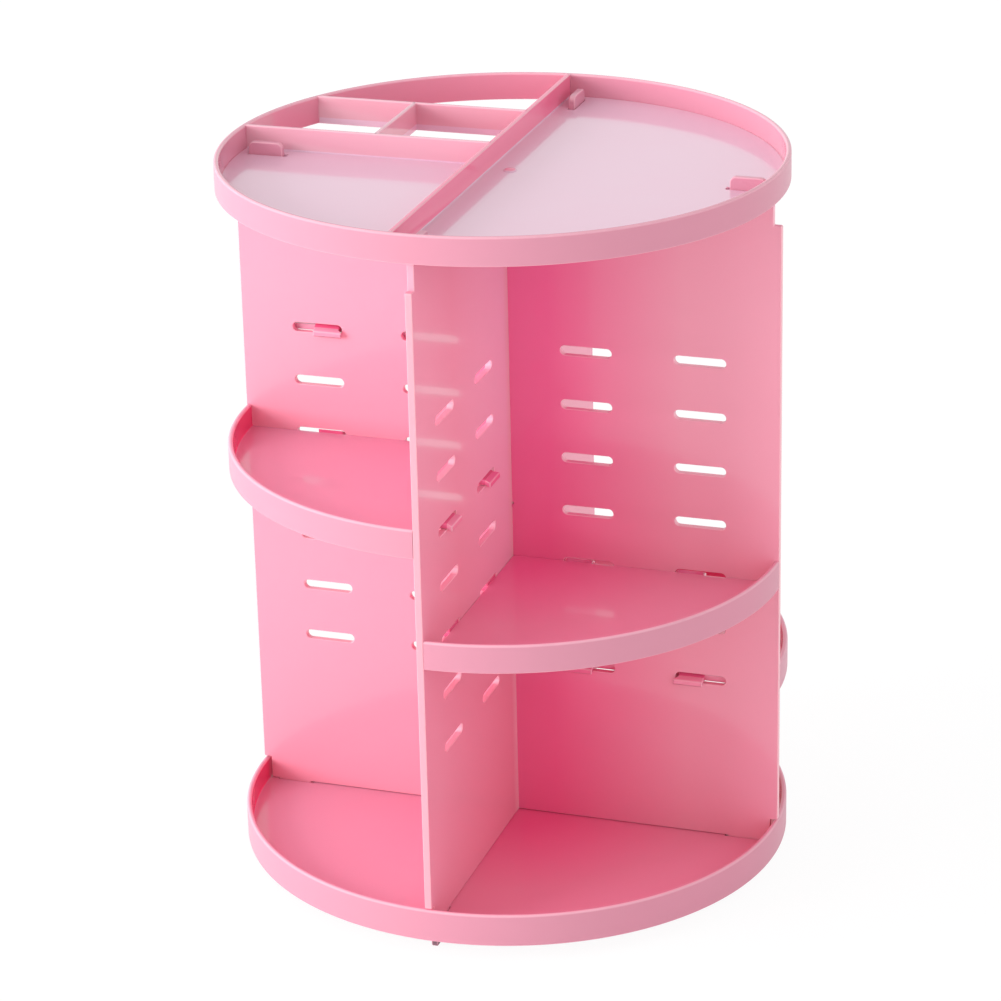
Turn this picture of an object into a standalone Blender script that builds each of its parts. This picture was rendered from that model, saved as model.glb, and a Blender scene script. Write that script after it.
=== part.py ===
"""Rotating makeup organizer: a carousel of two crossed, slotted panels on a ball-race turntable.

A base tray, the two panels and a top tray turn together. Four quarter-round shelf trays hook
into the panels' slots, each at its own level, and slide out along the diagonal of their quarter.

Frame: +Z up, origin on the turning axis at table height, +X along the wide panel, +Y along the
deep panel and away from the front. All lengths are in metres.
"""

import math

import bmesh
import bpy
from mathutils import Matrix, Vector

COLLECTION_NAME = "rotating_makeup_organizer"
CUTTER_COLLECTION_NAME = "cutters"

# Clearances between pieces, and how far a cutter runs past what it cuts
SEAT_GAP = 0.0003
CUT_OVERRUN = 0.001
JOIN_DEPTH = 0.0015
MERGE_DISTANCE = 0.00001

# Round trays, which share one radius and one rim wall
TRAY_RADIUS = 0.115
RIM_WALL = 0.0022
TRAY_FLOOR = 0.0021
BASE_RIM_RISE = 0.0095
BASE_SKIRT_DROP = 0.0021
TOP_RIM_RISE = 0.0096

# Walls on the top tray: centre lines measured from the turning axis
TOP_WALL = 0.0020
DIVIDER_OFFSET = 0.0072
CELL_FRONT_WALL_OFFSET = 0.0075
CELL_BACK_WALL_OFFSET = 0.0550
CELL_SIDE_WALL_OFFSET = 0.0564

# The moulding's gate mark, a low dome on the top tray's floor
GATE_MARK_RADIUS = 0.0028
GATE_MARK_RISE = 0.0009
GATE_MARK_OFFSET_X = 0.0025
GATE_MARK_OFFSET_Y = 0.0020

# Crossed panels
PANEL_HEIGHT = 0.2805
PANEL_THICKNESS = 0.0028
NOTCH_RIM_CLEARANCE = 0.0011
NOTCH_HEADROOM = 0.0021
TAB_WIDTH = 0.0146
TAB_NOTCH_INSET = 0.0032
TAB_TABLE_CLEARANCE = 0.0018
TAB_TRAY_RISE = 0.0052
TAB_CORNER_RADIUS = 0.0025
TAB_INNER_PLAY = 0.0014

# Slots in the panels: two columns on each half, level 1 at the top
SLOT_LEVELS = 7
SLOT_PITCH = 0.0232
SLOT_LENGTH = 0.0216
SLOT_HEIGHT = 0.0040
INNER_SLOT_START = 0.0233
OUTER_SLOT_EDGE_INSET = 0.0224

# Shelf trays and the hooked lugs on their two straight sides
SHELF_PANEL_CLEARANCE = 0.0004
SHELF_FLOOR = 0.0022
SHELF_RIM_RISE = 0.0095
LUG_WIDTH = 0.0106
LUG_END_CLEARANCE = 0.0015
LUG_REACH = 0.0022
SLIDE_RISE_SHARE = 0.5
SHELF_LEVEL_BY_QUARTER = {"rear_right": 7, "rear_left": 1, "front_left": 3, "front_right": 5}

# Turntable base plate, inside the panels' tabs, with a lip round its edge and a hub over its pocket
FOOT_RADIUS = 0.0060
FOOT_THICKNESS = 0.0019
FOOT_CHAMFER = 0.0004
FOOT_EDGE_INSET = 0.0015
FOOT_COUNT = 6
PLATE_STANDOFF = 0.0015
PLATE_TAB_CLEARANCE = 0.0059
PLATE_THICKNESS = 0.0025
PLATE_LIP_WIDTH = 0.0018
PLATE_LIP_RISE = 0.0020
HUB_RISE = 0.0025
HUB_WALL = 0.0025
HUB_SLOPE = 0.0015

# Ball race: grooves in the plate and in the rib under the base tray
CAGE_LIP_CLEARANCE = 0.0110
BALL_RADIUS = 0.0025
BALL_COUNT = 12
PLATE_GROOVE_DEPTH = 0.0011
RIB_GROOVE_DEPTH = 0.0013
RIB_DROP = 0.0014
RIB_HALF_WIDTH = 0.0060
CAGE_HALF_WIDTH = 0.0052
CAGE_THICKNESS = 0.0018

# Pivot: a boss under the base tray, held down by a washer and a pan-head screw
BOSS_RADIUS = 0.0075
WASHER_RADIUS = 0.0130
WASHER_POCKET_CLEARANCE = 0.0045
WASHER_THICKNESS = 0.0008
SCREW_RADIUS = 0.00175
SCREW_GRIP = 0.0062
SCREW_HEAD_RADIUS = 0.0040
SCREW_HEAD_HEIGHT = 0.0016
SCREW_HEAD_ROUNDING = 0.0008

# How finely round forms are cut
ROUND_STEPS = 64
HUB_STEPS = 40
CAGE_STEPS = 40
SMALL_STEPS = 24
FOOT_STEPS = 20
GATE_MARK_STEPS = 16
HOLE_STEPS = 12
ARC_STEPS = 5
EDGE_ARC_STEPS = 4
CORNER_ARC_STEPS = 3
BALL_SEGMENTS = 10
BALL_RINGS = 6
SHARP_ANGLE = math.radians(35)

# Heights that follow from the sizes above, from the table up
FULL_TURN = 2 * math.pi
QUARTER_TURN = math.pi / 2
FOOT_RECESS_DEPTH = FOOT_THICKNESS + SEAT_GAP - PLATE_STANDOFF
PLATE_TOP_Z = PLATE_STANDOFF + PLATE_THICKNESS
HUB_TOP_Z = PLATE_TOP_Z + HUB_RISE
HUB_UNDERSIDE_Z = HUB_TOP_Z - HUB_WALL
GROOVE_RADIUS = BALL_RADIUS + SEAT_GAP
BALL_CENTRE_Z = PLATE_TOP_Z - PLATE_GROOVE_DEPTH + GROOVE_RADIUS
RIB_BOTTOM_Z = BALL_CENTRE_Z + GROOVE_RADIUS - RIB_GROOVE_DEPTH
BASE_UNDERSIDE_Z = RIB_BOTTOM_Z + RIB_DROP
BASE_FLOOR_Z = BASE_UNDERSIDE_Z + TRAY_FLOOR
BASE_RIM_Z = BASE_FLOOR_Z + BASE_RIM_RISE
WASHER_TOP_Z = HUB_UNDERSIDE_Z - SEAT_GAP
WASHER_BOTTOM_Z = WASHER_TOP_Z - WASHER_THICKNESS
SCREW_HEAD_TOP_Z = WASHER_BOTTOM_Z - SEAT_GAP
PANEL_BOTTOM_Z = BASE_FLOOR_Z + SEAT_GAP
PANEL_TOP_Z = PANEL_BOTTOM_Z + PANEL_HEIGHT
PANEL_MIDDLE_Z = PANEL_BOTTOM_Z + PANEL_HEIGHT / 2
TOP_UNDERSIDE_Z = PANEL_TOP_Z + SEAT_GAP
TOP_FLOOR_Z = TOP_UNDERSIDE_Z + TRAY_FLOOR
TOP_RIM_Z = TOP_FLOOR_Z + TOP_RIM_RISE

# Places across the trays and panels that follow from the sizes above
RIM_INNER_RADIUS = TRAY_RADIUS - RIM_WALL
RIM_MIDDLE_RADIUS = TRAY_RADIUS - RIM_WALL / 2
NOTCH_X = RIM_INNER_RADIUS - NOTCH_RIM_CLEARANCE
NOTCH_HEIGHT = BASE_RIM_RISE + NOTCH_HEADROOM - SEAT_GAP
LOWER_TAB_LENGTH = PANEL_BOTTOM_Z - TAB_TABLE_CLEARANCE
UPPER_TAB_LENGTH = SEAT_GAP + TRAY_FLOOR + TAB_TRAY_RISE
TAB_OUTER_X = NOTCH_X - TAB_NOTCH_INSET
TAB_INNER_X = TAB_OUTER_X - TAB_WIDTH
TAB_SLOT_HALF_WIDTH = PANEL_THICKNESS / 2 + SEAT_GAP
TAB_SLOT_INNER_X = TAB_INNER_X - SEAT_GAP - TAB_INNER_PLAY
TAB_SLOT_OUTER_X = TAB_OUTER_X + SEAT_GAP
LAP_HALF_WIDTH = PANEL_THICKNESS / 2 + SEAT_GAP
INNER_SLOT_OFFSET = INNER_SLOT_START + SLOT_LENGTH / 2
OUTER_SLOT_OFFSET = TRAY_RADIUS - OUTER_SLOT_EDGE_INSET - SLOT_LENGTH / 2
SHELF_SIDE = PANEL_THICKNESS / 2 + SHELF_PANEL_CLEARANCE
SHELF_BOTTOM = -SLOT_HEIGHT / 2 + SEAT_GAP
SHELF_FLOOR_TOP = SHELF_BOTTOM + SHELF_FLOOR
LUG_THICKNESS = SLOT_HEIGHT - SLIDE_RISE_SHARE * PANEL_THICKNESS - 2 * SEAT_GAP
PLATE_RADIUS = TAB_INNER_X - PLATE_TAB_CLEARANCE
FOOT_CIRCLE_RADIUS = PLATE_RADIUS - FOOT_EDGE_INSET - FOOT_RADIUS
RACE_RADIUS = PLATE_RADIUS - PLATE_LIP_WIDTH - CAGE_LIP_CLEARANCE - CAGE_HALF_WIDTH
POCKET_RADIUS = WASHER_RADIUS + WASHER_POCKET_CLEARANCE
HUB_RADIUS = POCKET_RADIUS + HUB_WALL


def clear_scene():
    """Remove every object that the file opened with."""
    for scene_object in list(bpy.data.objects):
        bpy.data.objects.remove(scene_object, do_unlink=True)


def new_collection(name):
    """Make a collection under the scene's own and return it."""
    collection = bpy.data.collections.new(name)
    bpy.context.scene.collection.children.link(collection)
    return collection


def finish_material(name, colour, roughness, metallic=0.0):
    """A Principled material with one colour, roughness and metallic value."""
    material = bpy.data.materials.new(name)
    material.use_nodes = True
    shader = material.node_tree.nodes["Principled BSDF"]
    shader.inputs["Base Color"].default_value = (*colour, 1.0)
    shader.inputs["Roughness"].default_value = roughness
    shader.inputs["Metallic"].default_value = metallic
    material.diffuse_color = (*colour, 1.0)
    return material


def new_cutter(name, mesh):
    """Put a mesh in the cutters' collection as a hidden guide."""
    cutter = bpy.data.objects.new(name, mesh)
    cutter.hide_render = True
    cutter.display_type = "WIRE"
    bpy.data.collections[CUTTER_COLLECTION_NAME].objects.link(cutter)
    return cutter


def evaluated_mesh(source, name):
    """The mesh of an object or a curve as its modifiers leave it, with doubles welded."""
    depsgraph = bpy.context.evaluated_depsgraph_get()
    mesh = bpy.data.meshes.new_from_object(source.evaluated_get(depsgraph))
    mesh.name = name
    work = bmesh.new()
    work.from_mesh(mesh)
    bmesh.ops.remove_doubles(work, verts=work.verts, dist=MERGE_DISTANCE)
    work.to_mesh(mesh)
    work.free()
    return mesh


def turned_mesh(name, profile, closed, steps):
    """Turn a profile of (radius, height) points about Z with a Screw modifier.

    An open profile runs from the axis over the top, down the outer side and back to the axis.
    A closed one is the section of a ring and runs the same way round.
    """
    profile_mesh = bpy.data.meshes.new(name)
    edges = [(index, index + 1) for index in range(len(profile) - 1)]
    if closed:
        edges.append((len(profile) - 1, 0))
    profile_mesh.from_pydata([(radius, 0.0, height) for radius, height in profile], edges, [])
    guide = new_cutter(name + "_profile", profile_mesh)
    screw = guide.modifiers.new("turn", "SCREW")
    screw.axis = "Z"
    screw.angle = FULL_TURN
    screw.steps = steps
    screw.render_steps = steps
    screw.use_merge_vertices = True
    screw.merge_threshold = MERGE_DISTANCE
    mesh = evaluated_mesh(guide, name)
    bpy.data.objects.remove(guide)
    return mesh


def outline_mesh(name, loops, thickness):
    """Fill a flat outline, the first loop, with its holes, and thicken it about Z = 0."""
    curve = bpy.data.curves.new(name, "CURVE")
    curve.dimensions = "2D"
    curve.fill_mode = "BOTH"
    curve.extrude = thickness / 2
    for loop in loops:
        spline = curve.splines.new("POLY")
        spline.points.add(len(loop) - 1)
        spline.use_cyclic_u = True
        for point, (x, y) in zip(spline.points, loop):
            point.co = (x, y, 0.0, 1.0)
    guide = new_cutter(name + "_outline", curve)
    mesh = evaluated_mesh(guide, name)
    bpy.data.objects.remove(guide)
    return mesh


def boxes_mesh(name, boxes):
    """Make one mesh of closed boxes, each given by its lowest and highest corner."""
    work = bmesh.new()
    for low, high in boxes:
        size = Vector(high) - Vector(low)
        centre = (Vector(high) + Vector(low)) / 2
        place = Matrix.Translation(centre) @ Matrix.Diagonal((*size, 1.0))
        bmesh.ops.create_cube(work, size=1.0, matrix=place)
    mesh = bpy.data.meshes.new(name)
    work.to_mesh(mesh)
    work.free()
    return mesh


def combined_mesh(name, start, steps):
    """Apply Boolean steps, each an operation and a mesh, to a start mesh."""
    body = new_cutter(name + "_blank", start)
    for index, (operation, operand_mesh) in enumerate(steps):
        operand = new_cutter(f"{name}_{operation.lower()}_{index + 1}", operand_mesh)
        boolean = body.modifiers.new(operation.lower(), "BOOLEAN")
        boolean.operation = operation
        boolean.solver = "EXACT"
        boolean.object = operand
    return evaluated_mesh(body, name)


def add_part(name, mesh, material, parent):
    """Place a finished mesh as a named sub-part on its pivot."""
    if not mesh.materials:
        mesh.materials.append(material)
    mesh.shade_smooth()
    mesh.set_sharp_from_angle(angle=SHARP_ANGLE)
    part = bpy.data.objects.new(name, mesh)
    part.parent = parent
    bpy.data.collections[COLLECTION_NAME].objects.link(part)
    return part


def add_pivot(name, parent=None):
    """An empty on the turning axis that carries the pieces of one moving body."""
    pivot = bpy.data.objects.new(name, None)
    pivot.empty_display_size = TRAY_RADIUS
    pivot.parent = parent
    bpy.data.collections[COLLECTION_NAME].objects.link(pivot)
    return pivot


def arc_points(centre, radius, start_angle, end_angle, steps):
    """Points along an arc in the plane of the outline, both ends included."""
    points = []
    for index in range(steps + 1):
        angle = start_angle + (end_angle - start_angle) * index / steps
        points.append((centre[0] + radius * math.cos(angle), centre[1] + radius * math.sin(angle)))
    return points


def circle_points(centre, radius, steps):
    """Points round a full circle, with no point twice."""
    return arc_points(centre, radius, 0.0, FULL_TURN, steps)[:-1]


def rim_crest(top_z):
    """The rounded crest of a rim, from its inner side over to its outer side."""
    crest_radius = RIM_WALL / 2
    centre = (RIM_MIDDLE_RADIUS, top_z - crest_radius)
    return arc_points(centre, crest_radius, math.pi, 0.0, EDGE_ARC_STEPS)


def groove_points(edge_z, opens_up):
    """The section of a ball groove, from its inner lip to its outer lip.

    The groove's arc is struck round the ball's centre, which lies above the edge of a groove
    that opens up and below the edge of one that opens down.
    """
    half_chord = math.sqrt(GROOVE_RADIUS ** 2 - (BALL_CENTRE_Z - edge_z) ** 2)
    lip_angle = math.atan2(edge_z - BALL_CENTRE_Z, half_chord)
    centre = (RACE_RADIUS, BALL_CENTRE_Z)
    if opens_up:
        return arc_points(centre, GROOVE_RADIUS, -math.pi - lip_angle, lip_angle, ARC_STEPS)
    return arc_points(centre, GROOVE_RADIUS, math.pi - lip_angle, lip_angle, ARC_STEPS)


def tab_slot_boxes(low_z, high_z):
    """The four slots in a tray floor that the panels' tabs pass through."""
    half_width = TAB_SLOT_HALF_WIDTH
    boxes = []
    for side in (-1, 1):
        low, high = sorted((side * TAB_SLOT_INNER_X, side * TAB_SLOT_OUTER_X))
        boxes.append(((low, -half_width, low_z), (high, half_width, high_z)))
        boxes.append(((-half_width, low, low_z), (half_width, high, high_z)))
    return boxes


def base_tray_mesh():
    """The base tray: floor, rim, skirt, race rib and screw boss, turned in one profile."""
    screw_hole_radius = SCREW_RADIUS + SEAT_GAP
    screw_hole_top_z = SCREW_HEAD_TOP_Z + SCREW_GRIP + SEAT_GAP + SEAT_GAP
    rib_inner = RACE_RADIUS - RIB_HALF_WIDTH
    rib_outer = RACE_RADIUS + RIB_HALF_WIDTH
    profile = [(0.0, BASE_FLOOR_Z), (RIM_INNER_RADIUS, BASE_FLOOR_Z)]
    profile += rim_crest(BASE_RIM_Z)
    profile += [
        (TRAY_RADIUS, BASE_UNDERSIDE_Z - BASE_SKIRT_DROP),
        (RIM_INNER_RADIUS, BASE_UNDERSIDE_Z - BASE_SKIRT_DROP),
        (RIM_INNER_RADIUS, BASE_UNDERSIDE_Z),
        (rib_outer, BASE_UNDERSIDE_Z),
        (rib_outer, RIB_BOTTOM_Z),
    ]
    profile += reversed(groove_points(RIB_BOTTOM_Z, opens_up=False))
    profile += [
        (rib_inner, RIB_BOTTOM_Z),
        (rib_inner, BASE_UNDERSIDE_Z),
        (BOSS_RADIUS, BASE_UNDERSIDE_Z),
        (BOSS_RADIUS, HUB_UNDERSIDE_Z),
        (screw_hole_radius, HUB_UNDERSIDE_Z),
        (screw_hole_radius, screw_hole_top_z),
        (0.0, screw_hole_top_z),
    ]
    turned = turned_mesh("base_tray", profile, False, ROUND_STEPS)
    slots = boxes_mesh(
        "base_tab_slots",
        tab_slot_boxes(BASE_UNDERSIDE_Z - CUT_OVERRUN, BASE_FLOOR_Z + CUT_OVERRUN),
    )
    return combined_mesh("base_tray", turned, [("DIFFERENCE", slots)])


def top_floor_outline():
    """The top tray's floor: a disc without the quarter where the brush cells are open."""
    start_angle = math.pi - math.asin(CELL_FRONT_WALL_OFFSET / RIM_MIDDLE_RADIUS)
    end_angle = FULL_TURN + QUARTER_TURN + math.asin(DIVIDER_OFFSET / RIM_MIDDLE_RADIUS)
    outline = arc_points((0.0, 0.0), RIM_MIDDLE_RADIUS, start_angle, end_angle, ROUND_STEPS)
    outline.append((-DIVIDER_OFFSET, CELL_FRONT_WALL_OFFSET))
    return outline


def chord_reach(offset):
    """How far a wall at this offset from the axis runs to end inside the rim's wall."""
    far_side = abs(offset) + TOP_WALL / 2
    return math.sqrt(RIM_MIDDLE_RADIUS ** 2 - far_side ** 2)


def top_wall_boxes():
    """The divider from rim to rim and the three walls that make the brush cells."""
    half_wall = TOP_WALL / 2
    divider_x = -DIVIDER_OFFSET
    side_wall_x = -CELL_SIDE_WALL_OFFSET
    front_y = CELL_FRONT_WALL_OFFSET
    back_y = CELL_BACK_WALL_OFFSET
    divider_reach = chord_reach(DIVIDER_OFFSET)
    spans = [
        (divider_x - half_wall, divider_x + half_wall, -divider_reach, divider_reach),
        (-chord_reach(front_y), divider_x, front_y - half_wall, front_y + half_wall),
        (-chord_reach(back_y), divider_x, back_y - half_wall, back_y + half_wall),
        (side_wall_x - half_wall, side_wall_x + half_wall, front_y, back_y),
    ]
    return [
        ((low_x, low_y, TOP_UNDERSIDE_Z), (high_x, high_y, TOP_RIM_Z))
        for low_x, high_x, low_y, high_y in spans
    ]


def gate_mark_mesh():
    """The low dome that the moulding's gate leaves on the top tray's floor."""
    profile = []
    for share_x, share_z in reversed(arc_points((0.0, 0.0), 1.0, 0.0, QUARTER_TURN, CORNER_ARC_STEPS)):
        profile.append((share_x * GATE_MARK_RADIUS, share_z * GATE_MARK_RISE))
    profile += [(GATE_MARK_RADIUS, -JOIN_DEPTH), (0.0, -JOIN_DEPTH)]
    mark = turned_mesh("gate_mark", profile, False, GATE_MARK_STEPS)
    mark.transform(Matrix.Translation((GATE_MARK_OFFSET_X, GATE_MARK_OFFSET_Y, TOP_FLOOR_Z)))
    return mark


def top_tray_mesh():
    """The top tray: a turned rim, a floor cut away at the cells, and four straight walls."""
    section = rim_crest(TOP_RIM_Z)
    section += [(TRAY_RADIUS, TOP_UNDERSIDE_Z), (RIM_INNER_RADIUS, TOP_UNDERSIDE_Z)]
    rim = turned_mesh("top_rim", section, True, ROUND_STEPS)
    floor = outline_mesh("top_floor", [top_floor_outline()], TRAY_FLOOR)
    floor.transform(Matrix.Translation((0.0, 0.0, TOP_UNDERSIDE_Z + TRAY_FLOOR / 2)))
    steps = [("UNION", floor), ("UNION", gate_mark_mesh())]
    for index, wall_box in enumerate(top_wall_boxes()):
        steps.append(("UNION", boxes_mesh(f"top_wall_{index + 1}", [wall_box])))
    slots = boxes_mesh(
        "top_tab_slots",
        tab_slot_boxes(TOP_UNDERSIDE_Z - CUT_OVERRUN, TOP_FLOOR_Z + CUT_OVERRUN),
    )
    steps.append(("DIFFERENCE", slots))
    return combined_mesh("top_tray", rim, steps)


def tab_outline(length):
    """One tab of the right half, from its inner root to its outer root, hanging below zero."""
    tip = -length
    corner = TAB_CORNER_RADIUS
    points = [(TAB_INNER_X, 0.0)]
    points += arc_points(
        (TAB_INNER_X + corner, tip + corner), corner, math.pi, math.pi + QUARTER_TURN, CORNER_ARC_STEPS
    )
    points += arc_points(
        (TAB_OUTER_X - corner, tip + corner), corner, -QUARTER_TURN, 0.0, CORNER_ARC_STEPS
    )
    points.append((TAB_OUTER_X, 0.0))
    return points


def panel_outline(lap_from_top):
    """A panel's outline: square shoulders, corner notches, four tabs and the half-lap slot."""
    notch = [(NOTCH_X, 0.0), (NOTCH_X, NOTCH_HEIGHT), (TRAY_RADIUS, NOTCH_HEIGHT)]
    lower = tab_outline(LOWER_TAB_LENGTH) + notch
    upper = [(x, PANEL_HEIGHT - y) for x, y in reversed(tab_outline(UPPER_TAB_LENGTH) + notch)]
    lap_end = (PANEL_HEIGHT - SEAT_GAP) / 2
    if lap_from_top:
        right = lower + upper + [(LAP_HALF_WIDTH, PANEL_HEIGHT), (LAP_HALF_WIDTH, lap_end)]
    else:
        right = [(LAP_HALF_WIDTH, PANEL_HEIGHT - lap_end), (LAP_HALF_WIDTH, 0.0)] + lower + upper
    left = [(-x, y) for x, y in reversed(right)]
    return right + left


def slot_outline(centre_x, centre_y):
    """A long slot with full round ends."""
    end_radius = SLOT_HEIGHT / 2
    reach = SLOT_LENGTH / 2 - end_radius
    points = arc_points(
        (centre_x + reach, centre_y), end_radius, -QUARTER_TURN, QUARTER_TURN, ARC_STEPS
    )
    points += arc_points(
        (centre_x - reach, centre_y), end_radius, QUARTER_TURN, QUARTER_TURN + math.pi, ARC_STEPS
    )
    return points


def level_height(level):
    """The height of a level's slot centres above the panel's shoulder."""
    middle_level = (SLOT_LEVELS + 1) / 2
    return PANEL_HEIGHT / 2 + (middle_level - level) * SLOT_PITCH


def panel_mesh(name, lap_from_top):
    """A slotted panel, flat on the XY plane with its shoulder on the X axis."""
    loops = [panel_outline(lap_from_top)]
    for level in range(1, SLOT_LEVELS + 1):
        for offset in (-OUTER_SLOT_OFFSET, -INNER_SLOT_OFFSET, INNER_SLOT_OFFSET, OUTER_SLOT_OFFSET):
            loops.append(slot_outline(offset, level_height(level)))
    return outline_mesh(name, loops, PANEL_THICKNESS)


def lug_mesh(slot_offset):
    """A hooked lug through the wide panel: a straight neck, then a toe that slants inward.

    The toe's inner side slants at 45 degrees and the toe dips by the slide's rise, so that the
    whole lug leaves its slot along one slanted line.
    """
    low_x = slot_offset - SLOT_LENGTH / 2 + LUG_END_CLEARANCE
    far_face_y = -PANEL_THICKNESS / 2
    neck = (
        (low_x, far_face_y, SHELF_BOTTOM),
        (low_x + LUG_WIDTH, SHELF_SIDE + JOIN_DEPTH, SHELF_BOTTOM + LUG_THICKNESS),
    )
    mesh = boxes_mesh("lug", [neck])
    work = bmesh.new()
    work.from_mesh(mesh)
    far_face = min(work.faces, key=lambda face: face.calc_center_median().y)
    toe = bmesh.ops.extrude_face_region(work, geom=[far_face])
    bmesh.ops.delete(work, geom=[far_face], context="FACES_ONLY")
    toe_vertices = [item for item in toe["geom"] if isinstance(item, bmesh.types.BMVert)]
    drop = LUG_REACH * SLIDE_RISE_SHARE
    bmesh.ops.translate(work, verts=toe_vertices, vec=(0.0, -LUG_REACH, -drop))
    inner_vertices = [vertex for vertex in toe_vertices if vertex.co.x < low_x + LUG_WIDTH / 2]
    bmesh.ops.translate(work, verts=inner_vertices, vec=(-LUG_REACH, 0.0, 0.0))
    bmesh.ops.recalc_face_normals(work, faces=work.faces)
    work.to_mesh(mesh)
    work.free()
    return mesh


def mirrored_across_diagonal(mesh):
    """A copy of a mesh with X and Y exchanged and its faces turned to point out again."""
    copy = mesh.copy()
    copy.transform(Matrix(((0, 1, 0, 0), (1, 0, 0, 0), (0, 0, 1, 0), (0, 0, 0, 1))))
    copy.flip_normals()
    return copy


def shelf_tray_mesh():
    """A quarter-round shelf tray in the +X +Y quarter, with its slots' centre height at zero."""
    profile = [(0.0, SHELF_FLOOR_TOP), (RIM_INNER_RADIUS, SHELF_FLOOR_TOP)]
    profile += rim_crest(SHELF_FLOOR_TOP + SHELF_RIM_RISE)
    profile += [(TRAY_RADIUS, SHELF_BOTTOM), (0.0, SHELF_BOTTOM)]
    full_round = turned_mesh("shelf_tray", profile, False, ROUND_STEPS)
    quarter = boxes_mesh(
        "shelf_quarter",
        [(
            (SHELF_SIDE, SHELF_SIDE, SHELF_BOTTOM - CUT_OVERRUN),
            (
                TRAY_RADIUS + CUT_OVERRUN,
                TRAY_RADIUS + CUT_OVERRUN,
                SHELF_FLOOR_TOP + SHELF_RIM_RISE + CUT_OVERRUN,
            ),
        )],
    )
    steps = [("INTERSECT", quarter)]
    for slot_offset in (INNER_SLOT_OFFSET, OUTER_SLOT_OFFSET):
        lug = lug_mesh(slot_offset)
        steps.append(("UNION", lug))
        steps.append(("UNION", mirrored_across_diagonal(lug)))
    return combined_mesh("shelf_tray", full_round, steps)


def turntable_base_mesh():
    """The plate that stays on the table: lip, lower ball groove, hub, pocket and foot recesses."""
    lip_inner = PLATE_RADIUS - PLATE_LIP_WIDTH
    hub_hole = BOSS_RADIUS + SEAT_GAP
    section = [(hub_hole, HUB_TOP_Z), (HUB_RADIUS - HUB_SLOPE, HUB_TOP_Z), (HUB_RADIUS, PLATE_TOP_Z)]
    section += groove_points(PLATE_TOP_Z, opens_up=True)
    section += [
        (lip_inner, PLATE_TOP_Z),
        (lip_inner, PLATE_TOP_Z + PLATE_LIP_RISE),
        (PLATE_RADIUS, PLATE_TOP_Z + PLATE_LIP_RISE),
        (PLATE_RADIUS, PLATE_STANDOFF),
        (POCKET_RADIUS, PLATE_STANDOFF),
        (POCKET_RADIUS, HUB_UNDERSIDE_Z),
        (hub_hole, HUB_UNDERSIDE_Z),
    ]
    plate = turned_mesh("turntable_base", section, True, ROUND_STEPS)
    recess_top_z = PLATE_STANDOFF + FOOT_RECESS_DEPTH
    recess_bottom_z = PLATE_STANDOFF - CUT_OVERRUN
    recesses = bmesh.new()
    for place in foot_places():
        centre = Vector((*place, (recess_top_z + recess_bottom_z) / 2))
        bmesh.ops.create_cone(
            recesses,
            cap_ends=True,
            segments=FOOT_STEPS,
            radius1=FOOT_RADIUS + SEAT_GAP,
            radius2=FOOT_RADIUS + SEAT_GAP,
            depth=recess_top_z - recess_bottom_z,
            matrix=Matrix.Translation(centre),
        )
    recess_mesh = bpy.data.meshes.new("foot_recesses")
    recesses.to_mesh(recess_mesh)
    recesses.free()
    return combined_mesh("turntable_base", plate, [("DIFFERENCE", recess_mesh)])


def foot_places():
    """Where the feet stand, evenly round their circle."""
    return circle_points((0.0, 0.0), FOOT_CIRCLE_RADIUS, FOOT_COUNT)


def foot_mesh():
    """A flat rubber foot with a chamfered sole, on its own axis, sole at zero."""
    profile = [
        (0.0, FOOT_THICKNESS),
        (FOOT_RADIUS, FOOT_THICKNESS),
        (FOOT_RADIUS, FOOT_CHAMFER),
        (FOOT_RADIUS - FOOT_CHAMFER, 0.0),
        (0.0, 0.0),
    ]
    return turned_mesh("rubber_foot", profile, False, FOOT_STEPS)


def ball_cage_mesh():
    """A flat ring with a hole for each ball."""
    centre = (0.0, 0.0)
    loops = [
        circle_points(centre, RACE_RADIUS + CAGE_HALF_WIDTH, CAGE_STEPS),
        circle_points(centre, RACE_RADIUS - CAGE_HALF_WIDTH, CAGE_STEPS),
    ]
    for place in ball_places():
        loops.append(circle_points(place, BALL_RADIUS + SEAT_GAP, HOLE_STEPS))
    cage = outline_mesh("ball_cage", loops, CAGE_THICKNESS)
    cage.transform(Matrix.Translation((0.0, 0.0, BALL_CENTRE_Z)))
    return cage


def ball_places():
    """Where the balls lie, evenly round the race."""
    return circle_points((0.0, 0.0), RACE_RADIUS, BALL_COUNT)


def ball_mesh():
    """One steel ball on its own centre."""
    work = bmesh.new()
    bmesh.ops.create_uvsphere(
        work, u_segments=BALL_SEGMENTS, v_segments=BALL_RINGS, radius=BALL_RADIUS
    )
    mesh = bpy.data.meshes.new("bearing_ball")
    work.to_mesh(mesh)
    work.free()
    return mesh


def washer_mesh():
    """The washer under the hub, round the screw."""
    hole_radius = SCREW_RADIUS + SEAT_GAP
    section = [
        (hole_radius, WASHER_TOP_Z),
        (WASHER_RADIUS, WASHER_TOP_Z),
        (WASHER_RADIUS, WASHER_BOTTOM_Z),
        (hole_radius, WASHER_BOTTOM_Z),
    ]
    return turned_mesh("pivot_washer", section, True, HUB_STEPS)


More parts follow.
